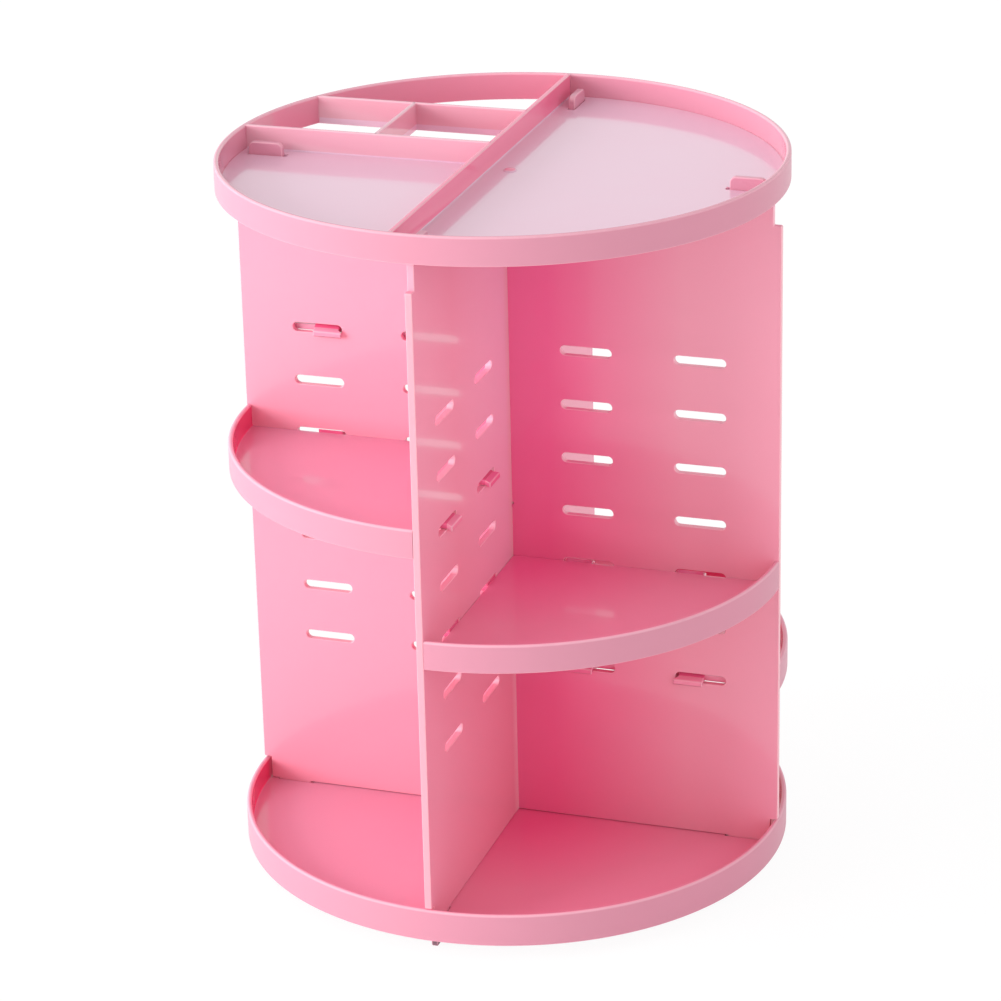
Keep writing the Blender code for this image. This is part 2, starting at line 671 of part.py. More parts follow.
def screw_mesh():
    """The pan-head pivot screw, driven up into the boss."""
    head_bottom_z = SCREW_HEAD_TOP_Z - SCREW_HEAD_HEIGHT
    rounding_centre = (SCREW_HEAD_RADIUS - SCREW_HEAD_ROUNDING, head_bottom_z + SCREW_HEAD_ROUNDING)
    profile = [
        (0.0, SCREW_HEAD_TOP_Z + SCREW_GRIP),
        (SCREW_RADIUS, SCREW_HEAD_TOP_Z + SCREW_GRIP),
        (SCREW_RADIUS, SCREW_HEAD_TOP_Z),
        (SCREW_HEAD_RADIUS, SCREW_HEAD_TOP_Z),
    ]
    profile += arc_points(rounding_centre, SCREW_HEAD_ROUNDING, 0.0, -QUARTER_TURN, CORNER_ARC_STEPS)
    profile.append((0.0, head_bottom_z))
    return turned_mesh("pivot_screw", profile, False, SMALL_STEPS)


def build_stand(stand):
    """The pieces that stay still on the table."""
    base_finish = finish_material("turntable_plastic", (0.84, 0.42, 0.52), 0.3)
    rubber = finish_material("foot_rubber", (0.03, 0.03, 0.035), 0.8)
    add_part("turntable_base", turntable_base_mesh(), base_finish, stand)
    shared_foot = foot_mesh()
    for index, place in enumerate(foot_places()):
        foot = add_part(f"rubber_foot_{index + 1}", shared_foot, rubber, stand)
        foot.location = (*place, 0.0)


def build_ball_race(cage_pivot):
    """The cage and its balls, which roll round at half the carousel's speed."""
    cage_finish = finish_material("cage_plastic", (0.8, 0.8, 0.78), 0.4)
    steel = finish_material("ball_steel", (0.62, 0.62, 0.62), 0.2, 1.0)
    add_part("ball_cage", ball_cage_mesh(), cage_finish, cage_pivot)
    shared_ball = ball_mesh()
    for index, place in enumerate(ball_places()):
        ball = add_part(f"bearing_ball_{index + 1:02d}", shared_ball, steel, cage_pivot)
        ball.location = (*place, BALL_CENTRE_Z)


def build_carousel(carousel):
    """The base tray, the crossed panels and what bolts them to the stand."""
    base_finish = finish_material("base_tray_plastic", (0.86, 0.33, 0.45), 0.12)
    panel_finish = finish_material("panel_plastic", (0.85, 0.21, 0.32), 0.1)
    zinc = finish_material("zinc_plated_steel", (0.6, 0.6, 0.58), 0.3, 1.0)
    add_part("base_tray", base_tray_mesh(), base_finish, carousel)
    upright = {"wide_panel": (True, 0.0), "deep_panel": (False, QUARTER_TURN)}
    for name, (lap_from_top, heading) in upright.items():
        panel = add_part(name, panel_mesh(name, lap_from_top), panel_finish, carousel)
        panel.location = (0.0, 0.0, PANEL_BOTTOM_Z)
        panel.rotation_euler = (QUARTER_TURN, 0.0, heading)
    add_part("pivot_washer", washer_mesh(), zinc, carousel)
    add_part("pivot_screw", screw_mesh(), zinc, carousel)


def build_trays(carousel):
    """The top tray on the panels' tabs and the four shelf trays in their slots."""
    top_finish = finish_material("top_tray_plastic", (0.88, 0.42, 0.53), 0.1)
    shelf_finish = finish_material("shelf_plastic", (0.87, 0.36, 0.48), 0.12)
    add_part("top_tray", top_tray_mesh(), top_finish, carousel)
    shared_shelf = shelf_tray_mesh()
    for turn, (quarter, level) in enumerate(SHELF_LEVEL_BY_QUARTER.items()):
        shelf = add_part(f"shelf_tray_{quarter}", shared_shelf, shelf_finish, carousel)
        shelf.location = (0.0, 0.0, PANEL_BOTTOM_Z + level_height(level))
        shelf.rotation_euler = (0.0, 0.0, turn * QUARTER_TURN)


def main():
    """Build the whole organizer."""
    clear_scene()
    new_collection(COLLECTION_NAME)
    new_collection(CUTTER_COLLECTION_NAME)
    stand = add_pivot("stand")
    cage_pivot = add_pivot("cage_pivot", stand)
    carousel = add_pivot("carousel_pivot", stand)
    build_stand(stand)
    build_ball_race(cage_pivot)
    build_carousel(carousel)
    build_trays(carousel)


main()
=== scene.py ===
"""Looks of the rotating makeup organizer: fine moulded surfaces, their finishes and a studio.

Each sub-assembly is a class that works its surfaces out as whole numpy arrays, turns them into
meshes and dresses them. Lengths are in metres, in the frame's own axes: +Z up, the turning axis
at the origin, +X along the wide panel and +Y along the deep panel, away from the front.
"""

import logging
import math
from collections.abc import Callable
from dataclasses import dataclass, replace
from enum import Enum

import bpy
import numpy as np
from mathutils import Matrix, Vector
from mathutils.geometry import tessellate_polygon


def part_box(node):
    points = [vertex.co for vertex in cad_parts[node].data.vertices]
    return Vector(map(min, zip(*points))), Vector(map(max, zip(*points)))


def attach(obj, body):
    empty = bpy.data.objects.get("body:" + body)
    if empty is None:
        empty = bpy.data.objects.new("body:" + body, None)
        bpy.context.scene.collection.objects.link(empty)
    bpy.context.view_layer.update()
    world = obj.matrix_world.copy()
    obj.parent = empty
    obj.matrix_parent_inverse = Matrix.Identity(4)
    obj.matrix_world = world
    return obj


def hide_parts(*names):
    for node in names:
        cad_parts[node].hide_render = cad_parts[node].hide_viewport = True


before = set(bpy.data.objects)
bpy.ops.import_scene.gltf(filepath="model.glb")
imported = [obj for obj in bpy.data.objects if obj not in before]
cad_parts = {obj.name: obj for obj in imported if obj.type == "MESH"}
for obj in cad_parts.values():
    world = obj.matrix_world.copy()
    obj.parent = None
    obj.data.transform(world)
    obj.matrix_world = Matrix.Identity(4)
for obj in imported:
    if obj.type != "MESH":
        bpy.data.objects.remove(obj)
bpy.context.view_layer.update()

log = logging.getLogger("organizer")

QUARTER_TURN = math.pi / 2
FULL_TURN = 2 * math.pi
SEAT_GAP = 0.0003
SHORTEST_EDGE = 1e-6
RACE_RADIUS = 0.0700

Sizes = np.ndarray | tuple[float, ...] | float
Point = tuple[float, float]
Place = tuple[float, float, float]

RIGHT = (1.0, 0.0, 0.0)
BACK = (0.0, 1.0, 0.0)
UP = (0.0, 0.0, 1.0)


class Body(Enum):
    """The bodies that the pieces ride on."""

    STAND = "base_stand"
    CAROUSEL = "carousel"
    CAGE = "cage"
    TOP_TRAY = "top_tray_body"
    SHELF_REAR_RIGHT = "shelf_rear_right"
    SHELF_REAR_LEFT = "shelf_rear_left"
    SHELF_FRONT_LEFT = "shelf_front_left"
    SHELF_FRONT_RIGHT = "shelf_front_right"


class Quarter(Enum):
    """The four quarters between the panels, by how many quarter turns they lie from +X +Y."""

    REAR_RIGHT = 0
    REAR_LEFT = 1
    FRONT_LEFT = 2
    FRONT_RIGHT = 3


def unit(vectors: np.ndarray) -> np.ndarray:
    """Vectors of length one, along the last axis."""
    return vectors / np.linalg.norm(vectors, axis=-1, keepdims=True)


def directions(angles: np.ndarray) -> np.ndarray:
    """The plane's unit vectors at these angles: their cosines and sines."""
    return np.stack([np.cos(angles), np.sin(angles)], axis=-1)


def quarter_spin(turns: int) -> np.ndarray:
    """The matrix that turns the plane by whole quarters: (x, y) becomes (-y, x) each time."""
    return np.linalg.matrix_power(np.array([[0.0, -1.0], [1.0, 0.0]]), turns)


# Outlines and surfaces


@dataclass(frozen=True)
class Outline:
    """A closed outline, or an open chain, in a plane.

    points and normals are (N, 2) arrays, the normals pointing out of the material. rounding is
    how far the edge at each point is rounded, and crest is 1 in the middle of a rounded corner.
    """

    points: np.ndarray
    normals: np.ndarray
    rounding: np.ndarray
    crest: np.ndarray

    @classmethod
    def rounded(cls, corners: np.ndarray, radii: Sizes, steps: int, rounding: Sizes = 0.0) -> "Outline":
        """Round the corners of a counter-clockwise outline with tangent arcs.

        The arc at a corner starts radius times the tangent of half the turn before it. Its
        points lie one radius from a centre, on the normal that swings from the arriving edge's
        to the leaving edge's. A corner that turns the other way has its centre outside.

        Args:
            corners: (M, 2) corner points.
            radii: one radius, or one for each corner.
            steps: how many chords each arc has.
            rounding: the edge's rounding, one value or one for each corner.

        Returns:
            The outline, with steps + 1 points at each corner.
        """
        corners = np.asarray(corners, dtype=float)
        radii, rounding = (np.broadcast_to(sizes, len(corners)) for sizes in (radii, rounding))
        arriving = unit(corners - np.roll(corners, 1, axis=0))
        leaving = unit(np.roll(corners, -1, axis=0) - corners)
        cross = arriving[:, 0] * leaving[:, 1] - arriving[:, 1] * leaving[:, 0]
        turn = np.arctan2(cross, (arriving * leaving).sum(axis=1))
        start_normal = np.stack([arriving[:, 1], -arriving[:, 0]], axis=1)
        share = np.linspace(0.0, 1.0, steps + 1)
        swing = turn[:, None] * share
        x, y = start_normal[:, :1], start_normal[:, 1:]
        cosine, sine = np.cos(swing), np.sin(swing)
        normals = np.stack([cosine * x - sine * y, sine * x + cosine * y], axis=2)
        side = np.sign(turn)[:, None]
        start = corners - arriving * (radii * np.tan(np.abs(turn) / 2))[:, None]
        centre = start - side * start_normal * radii[:, None]
        points = centre[:, None, :] + side[:, :, None] * normals * radii[:, None, None]
        crest = np.sin(math.pi * share) * (turn > 0)[:, None]
        points = points.reshape(-1, 2)
        kept = np.linalg.norm(points - np.roll(points, 1, axis=0), axis=1) > SHORTEST_EDGE
        edge = np.repeat(rounding, steps + 1)
        return cls(points[kept], normals.reshape(-1, 2)[kept], edge[kept], crest.reshape(-1)[kept])

    @classmethod
    def traced(cls, rows: list[tuple], steps: int) -> "Outline":
        """Round corners that are given as rows of (x, y, corner radius, edge rounding)."""
        table = np.array(rows)
        return cls.rounded(table[:, :2], table[:, 2], steps, table[:, 3])

    @classmethod
    def circle(
        cls, radius: float, steps: int, centre: Point = (0.0, 0.0), rounding: float = 0.0
    ) -> "Outline":
        """A circle's points: the centre plus the radius along each normal.

        Args:
            radius: the circle's radius.
            steps: how many points it has.
            centre: its centre.
            rounding: how far its edge is rounded.

        Returns:
            The outline, counter-clockwise.
        """
        normals = directions(np.arange(steps) * FULL_TURN / steps)
        points = np.asarray(centre) + radius * normals
        return cls(points, normals, np.full(steps, rounding), np.zeros(steps))

    @classmethod
    def box(cls, centre: Point, size: Point, radii: Sizes, steps: int, rounding: float = 0.0) -> "Outline":
        """A rectangle round its centre, whose corners are rounded from the lower left one on."""
        signs = np.array([(-1, -1), (1, -1), (1, 1), (-1, 1)])
        return cls.rounded(np.asarray(centre) + signs * (np.asarray(size) / 2), radii, steps, rounding)

    def hole(self) -> "Outline":
        """The same outline as the edge of a hole: run the other way, normals into the hole."""
        return Outline(self.points[::-1], -self.normals[::-1], self.rounding[::-1], self.crest[::-1])


@dataclass(frozen=True)
class Surface:
    """Vertices with their normals and crest values, and the quads and triangles on them."""

    vertices: np.ndarray
    normals: np.ndarray
    crest: np.ndarray
    quads: np.ndarray
    triangles: np.ndarray

    @classmethod
    def joined(cls, surfaces: list["Surface"]) -> "Surface":
        """Put surfaces side by side in one, with their faces renumbered.

        Args:
            surfaces: the surfaces, in order.

        Returns:
            One surface with all their faces.
        """
        starts = np.cumsum([0] + [len(surface.vertices) for surface in surfaces[:-1]])
        at_points = (
            np.concatenate([getattr(surface, part) for surface in surfaces])
            for part in ("vertices", "normals", "crest")
        )
        faces = (
            np.concatenate([getattr(surface, part) + start for surface, start in zip(surfaces, starts)])
            for part in ("quads", "triangles")
        )
        return cls(*at_points, *faces)

    def inward(self) -> np.ndarray:
        """How squarely each point faces the axis: the normal's part towards it, from 0 to 1.

        Returns:
            One value for each vertex.
        """
        reach = np.hypot(self.vertices[:, 0], self.vertices[:, 1])
        outward = (self.vertices[:, :2] * self.normals[:, :2]).sum(axis=1)
        return np.clip(-outward / np.maximum(reach, SHORTEST_EDGE), 0.0, 1.0)

    def bent(self, vertices: np.ndarray) -> "Surface":
        """The same faces on moved vertices, with the normals left for the mesh to work out."""
        return replace(self, vertices=vertices, normals=np.zeros_like(vertices))

    def turned(self, quarter: Quarter) -> "Surface":
        """The surface turned about Z into a quarter.

        Args:
            quarter: the quarter that +X +Y goes to.

        Returns:
            The turned surface.
        """
        spin = np.eye(3)
        spin[:2, :2] = quarter_spin(quarter.value)
        return replace(self, vertices=self.vertices @ spin.T, normals=self.normals @ spin.T)

    def moved(self, offset: Place) -> "Surface":
        """The surface moved by an offset."""
        return replace(self, vertices=self.vertices + np.asarray(offset))

    def swapped(self) -> "Surface":
        """The surface with X and Y exchanged and its faces turned to point out again.

        Returns:
            The mirrored surface.
        """
        order = [1, 0, 2]
        quads, triangles = self.quads[:, ::-1], self.triangles[:, ::-1]
        return Surface(self.vertices[:, order], self.normals[:, order], self.crest, quads, triangles)


@dataclass(frozen=True)
class StraightRun:
    """A straight run for a section: origin plus a across, b up and w along, across cross up."""

    origin: Place
    across: Place
    up: Place

    def place(self, a: np.ndarray, b: np.ndarray, w: np.ndarray) -> np.ndarray:
        """Where the section point (a, b) lies at the length w."""
        return np.asarray(self.origin) + self.turn(a, b, w, w)

    def turn(self, a: np.ndarray, b: np.ndarray, c: np.ndarray, w: np.ndarray) -> np.ndarray:
        """The direction with the parts a, b and c across, up and along."""
        axes = (self.across, self.up, np.cross(self.across, self.up))
        return sum(part[..., None] * np.asarray(axis) for part, axis in zip((a, b, c), axes))


@dataclass(frozen=True)
class RoundRun:
    """A run bent round the turning axis: a is the radius, b the height, w the arc's length."""

    radius: float
    middle_angle: float

    def place(self, a: np.ndarray, b: np.ndarray, w: np.ndarray) -> np.ndarray:
        """Where the section point (a, b) lies at the arc length w, which runs clockwise."""
        return self.turn(a, b, 0 * w, w)

    def turn(self, a: np.ndarray, b: np.ndarray, c: np.ndarray, w: np.ndarray) -> np.ndarray:
        """The direction with the parts a outward, b up and c along the arc.

        Args:
            a: the part outward.
            b: the part up.
            c: the part along the arc.
            w: the arc length at which the direction stands.

        Returns:
            The directions, with their three parts along the last axis.
        """
        angle = self.middle_angle - w / self.radius
        cosine, sine = np.cos(angle), np.sin(angle)
        return np.stack([a * cosine + c * sine, a * sine - c * cosine, b + 0 * angle], axis=-1)


def loop_ends(outlines: list[Outline]) -> np.ndarray:
    """Where each outline's points end, with all of them in one row."""
    return np.cumsum([len(outline.points) for outline in outlines])


def strip_faces(outlines: list[Outline], rows: int, closes: bool) -> np.ndarray:
    """The quads between neighbouring rows of points, with each outline closed on itself.

    Args:
        outlines: the outlines whose points make up each row.
        rows: how many rows of points there are.
        closes: whether the last row joins the first.

    Returns:
        (F, 4) point numbers.
    """
    ends = loop_ends(outlines)
    width = ends[-1]
    here = np.arange(width)
    following = np.concatenate([np.roll(loop, -1) for loop in np.split(here, ends[:-1])])
    row = np.arange(rows if closes else rows - 1)[:, None] * width
    next_row = (row + width) % (rows * width)
    quads = np.stack([row + here, row + following, next_row + following, next_row + here], axis=2)
    return quads.reshape(-1, 4)


def fill_triangles(outlines: list[Outline], points: np.ndarray) -> np.ndarray:
    """Triangles that fill the first outline without its holes, all counter-clockwise.

    Args:
        outlines: the outer outline, then its holes.
        points: where their points lie in the plane, in one row.

    Returns:
        (F, 3) point numbers.
    """
    loops = [loop.tolist() for loop in np.split(points, loop_ends(outlines)[:-1])]
    triangles = np.array(tessellate_polygon([[Vector(point) for point in loop] for loop in loops]))
    first, second, third = (points[triangles[:, corner]] for corner in range(3))
    one, two = second - first, third - first
    clockwise = one[:, 0] * two[:, 1] - one[:, 1] * two[:, 0] < 0
    triangles[clockwise] = triangles[clockwise][:, ::-1]
    return triangles


def prism(
    outlines: list[Outline], run: StraightRun | RoundRun, length: float, edge_steps: int = 4, spans: int = 1
) -> Surface:
    """Carry a section along a run, with its end edges rounded.

    At tilt t, from minus to plus a quarter turn, a point of rounding r lies r (1 - cos t)
    inside its outline and r sin t past the start of the rounding, and its normal leans by t.

    Args:
        outlines: the section's outline, then its holes.
        run: where the section goes.
        length: the prism's length, centred on the run's middle.
        edge_steps: chords in each rounded end edge.
        spans: how many stretches the straight part is cut into.

    Returns:
        A closed surface with flat, filled ends.
    """
    points, normals, rounding, crest = (
        np.concatenate([getattr(outline, part) for outline in outlines])
        for part in ("points", "normals", "rounding", "crest")
    )
    quarter = np.linspace(-QUARTER_TURN, 0.0, edge_steps + 1)
    tilt = np.concatenate([quarter, np.zeros(spans - 1), -quarter[::-1]])[:, None]
    inner = np.linspace(-1.0, 1.0, spans + 1)[1:-1]
    end = np.concatenate([np.full(edge_steps + 1, -1.0), inner, np.ones(edge_steps + 1)])[:, None]
    w = end * (length / 2 - rounding) + rounding * np.sin(tilt)
    inset = rounding * (1.0 - np.cos(tilt))
    a = points[:, 0] - inset * normals[:, 0]
    b = points[:, 1] - inset * normals[:, 1]
    lean = np.cos(tilt)
    turned = run.turn(lean * normals[:, 0], lean * normals[:, 1], np.sin(tilt) + 0 * a, w)
    rows, width = w.shape
    cap = fill_triangles(outlines, np.stack([a[0], b[0]], axis=1))
    edge_crest = np.abs(np.sin(2 * tilt)) * (rounding > 0)
    return Surface(
        run.place(a, b, w).reshape(-1, 3),
        turned.reshape(-1, 3),
        np.maximum(edge_crest, crest * lean ** 2).reshape(-1),
        strip_faces(outlines, rows, closes=False),
        np.concatenate([cap[:, ::-1], cap + (rows - 1) * width]),
    )


def slab(outlines: list[Outline], low: float, high: float, edge_steps: int = 4) -> Surface:
    """A flat piece with upright sides between two heights."""
    return prism(outlines, StraightRun((0.0, 0.0, (low + high) / 2), RIGHT, BACK), high - low, edge_steps)


def ring(outline: Outline, steps: int) -> Surface:
    """Turn a closed section (radius, height) right round the axis.

    Args:
        outline: the section, counter-clockwise.
        steps: how many times it is set down round the axis.

    Returns:
        A closed surface of quads.
    """
    run = RoundRun(1.0, 0.0)
    w = (np.arange(steps) * FULL_TURN / steps)[:, None] + 0 * outline.points[:, 0]
    a, b = (part + 0 * w for part in outline.points.T)
    across, up = (part + 0 * w for part in outline.normals.T)
    return Surface(
        run.place(a, b, w).reshape(-1, 3),
        run.turn(across, up, 0 * w, w).reshape(-1, 3),
        np.tile(outline.crest, steps),
        strip_faces([outline], steps, closes=True),
        np.zeros((0, 3), dtype=int),
    )


def band(radii: Point, heights: Point, corner: float, corner_steps: int, steps: int) -> Surface:
    """A plain ring between two radii and two heights, with rounded corners.

    Args:
        radii: the inner and the outer radius.
        heights: the lower and the upper height.
        corner: the radius of its corners.
        corner_steps: chords in each corner.
        steps: chords round the axis.

    Returns:
        A closed surface of quads.
    """
    (inner, outer), (low, high) = radii, heights
    centre, size = ((inner + outer) / 2, (low + high) / 2), (outer - inner, high - low)
    return ring(Outline.box(centre, size, corner, corner_steps), steps)


def turned_solid(outline: Outline, steps: int) -> Surface:
    """Turn a section that starts and ends on the axis, where its first and last points are poles.

    Args:
        outline: the open section, from the lower pole outward and up to the upper one.
        steps: chords round the axis.

    Returns:
        A closed surface, with a fan of triangles at each pole.
    """
    parts = (outline.points, outline.normals, outline.rounding, outline.crest)
    wall = ring(Outline(*(part[1:-1] for part in parts)), steps)
    count = len(outline.points) - 2
    first = np.arange(steps) * count
    last = first + count - 1
    low_pole = np.full(steps, steps * count)
    low_fan = np.stack([low_pole, first, np.roll(first, -1)], axis=1)
    high_fan = np.stack([low_pole + 1, np.roll(last, -1), last], axis=1)
    return Surface(
        np.concatenate([wall.vertices, [(0.0, 0.0, height) for height in outline.points[[0, -1], 1]]]),
        np.concatenate([wall.normals, [(0.0, 0.0, -1.0), UP]]),
        np.concatenate([wall.crest, [0.0, 0.0]]),
        wall.quads.reshape(steps, count, 4)[:, :-1].reshape(-1, 4),
        np.concatenate([low_fan, high_fan]),
    )


def placed(name: str, data: bpy.types.ID) -> bpy.types.Object:
    """Put a new object with this data in the scene.

    Args:
        name: the object's name.
        data: its mesh, lamp or camera.

    Returns:
        The object, at the origin.
    """
    made = bpy.data.objects.new(name, data)
    bpy.context.scene.collection.objects.link(made)
    return made


# Shader sockets


class ShaderTree:
    """A material's or a world's node tree, and the one method that adds a node to it."""

    def __init__(self, owner: bpy.types.Material | bpy.types.World) -> None:
        """Start from an empty tree.

        Args:
            owner: the material or world whose nodes these are.
        """
        owner.use_nodes = True
        self.tree = owner.node_tree
        self.tree.nodes.clear()

    def node(self, kind: str, settings: dict | None = None, **sockets: object) -> bpy.types.Node:
        """Add a node.

        Args:
            kind: the node's type without its ShaderNode prefix.
            settings: attributes to set first.
            **sockets: a value, a Value or a socket for each input, by its identifier.

        Returns:
            The node.
        """
        made = self.tree.nodes.new("ShaderNode" + kind)
        for name, value in (settings or {}).items():
            setattr(made, name, value)
        inputs = {socket.identifier: socket for socket in made.inputs}
        for name, value in sockets.items():
            target = inputs[name.replace("__", " ")]
            if isinstance(value, Value):
                value = value.socket
            if isinstance(value, bpy.types.NodeSocket):
                self.tree.links.new(value, target)
            else:
                target.default_value = value
        return made

    def value(self, made: bpy.types.Node, output: str) -> "Value":
        """Wrap one of a node's outputs, by its identifier."""
        return Value(self, next(socket for socket in made.outputs if socket.identifier == output))

    def axes(self, vector: bpy.types.NodeSocket) -> list["Value"]:
        """A vector's three parts."""
        parts = self.node("SeparateXYZ", Vector=vector)
        return [self.value(parts, axis) for axis in "XYZ"]

    def noise(
        self, place: bpy.types.NodeSocket, scale: float, detail: float, distortion: float = 0.0
    ) -> "Value":
        """A cloudy value of about 0 to 1, with features of about 1 / scale metres."""
        made = self.node("TexNoise", Vector=place, Scale=scale, Detail=detail, Distortion=distortion)
        return self.value(made, "Fac")

    def attribute(self, name: str) -> "Value":
        """One of the mesh's own values at each point."""
        return self.value(self.node("Attribute", {"attribute_name": name}), "Fac")

    def mix(self, factor: "Value", first: object, second: object) -> bpy.types.NodeSocket:
        """A colour between two, by a factor."""
        made = self.node("Mix", {"data_type": "RGBA"}, Factor_Float=factor, A_Color=first, B_Color=second)
        return next(socket for socket in made.outputs if socket.identifier == "Result_Color")

    def bump(self, distance: float, height: "Value") -> bpy.types.NodeSocket:
        """The normal of a surface that rises by a height times a distance."""
        return self.node("Bump", Strength=1.0, Distance=distance, Height=height).outputs["Normal"]


def maths(operation: str, swaps: bool = False, clamps: bool = False) -> Callable[..., "Value"]:
    """Make the method that adds one kind of Math node to a Value.

    Args:
        operation: the node's operation.
        swaps: whether the other number comes first, as in a reflected difference.
        clamps: whether the outcome is kept between 0 and 1.

    Returns:
        The method, whose other number is 0 where none is given.
    """

    def method(self: "Value", other: object = 0.0) -> "Value":
        """Add the node.

        Args:
            other: the other number, Value or socket.

        Returns:
            The outcome.
        """
        first, second = (other, self) if swaps else (self, other)
        settings = {"operation": operation, "use_clamp": clamps}
        return self.shader.value(self.shader.node("Math", settings, Value=first, Value_001=second), "Value")

    return method


class Value:
    """A number that changes over a surface, on which Python's operators add Math nodes.

    The larger of two values (or) joins two masks, the smaller (and) keeps what they share, and
    clamped keeps a value between 0 and 1.
    """

    def __init__(self, shader: ShaderTree, socket: bpy.types.NodeSocket) -> None:
        """Wrap an output socket."""
        self.shader = shader
        self.socket = socket

    __add__ = __radd__ = maths("ADD")
    __mul__ = __rmul__ = maths("MULTIPLY")
    __sub__ = maths("SUBTRACT")
    __rsub__ = maths("SUBTRACT", swaps=True)
    __pow__ = maths("POWER")
    __or__ = maths("MAXIMUM")
    __and__ = maths("MINIMUM")
    __abs__ = maths("ABSOLUTE")
    clamped = maths("ADD", clamps=True)


# Finishes

Colour = tuple[float, float, float, float]


def linear(red: int, green: int, blue: int) -> Colour:
    """A display colour of 0 to 255 as the linear colour that shaders use.

    A share s of a channel up to 0.04045 becomes s / 12.92, and a larger one becomes
    (s + 0.055) / 1.055 to the power of 2.4.

    Args:
        red: the red channel.
        green: the green channel.
        blue: the blue channel.

    Returns:
        The linear channels and a full alpha.
    """
    shares = [channel / 255 for channel in (red, green, blue)]
    levels = [s / 12.92 if s <= 0.04045 else ((s + 0.055) / 1.055) ** 2.4 for s in shares]
    return (*levels, 1.0)


class Measure(Enum):
    """What a layer of colour goes by."""

    REACH = "the distance from the turning axis"
    SIDE = "how far to the right of the turning axis"
    DEPTH = "how far behind the turning axis"
    HEIGHT = "the height above the table"
    OFFSET = "the distance from the nearer panel's middle plane"
    INWARD = "how squarely the surface faces the turning axis, from 0 to 1"


@dataclass(frozen=True)
class Layer:
    """A colour that fades in as a measure passes from bare to full, and may dull the gloss.

    share is how much of what lies under it a full layer hides.
    """

    measure: Measure
    bare: float
    full: float
    colour: Colour
    dulling: float = 0.0
    share: float = 1.0


@dataclass(frozen=True)
class Finish:
    """What every finish is: a name, a colour, a roughness and the depth of its relief."""

    name: str
    colour: Colour
    roughness: float
    relief: float

    def sockets(self, shader: ShaderTree, place: bpy.types.NodeSocket) -> dict[str, object]:
        """The values of the surface shader's sockets, by their identifiers."""
        raise NotImplementedError

    def material(self) -> bpy.types.Material:
        """Build the material.

        Returns:
            The material, with the finish's name.
        """
        material = bpy.data.materials.new(self.name)
        shader = ShaderTree(material)
        place = shader.node("TexCoord").outputs["Object"]
        surface = shader.node("BsdfPrincipled", **self.sockets(shader, place))
        shader.node("OutputMaterial", Surface=surface.outputs["BSDF"])
        return material


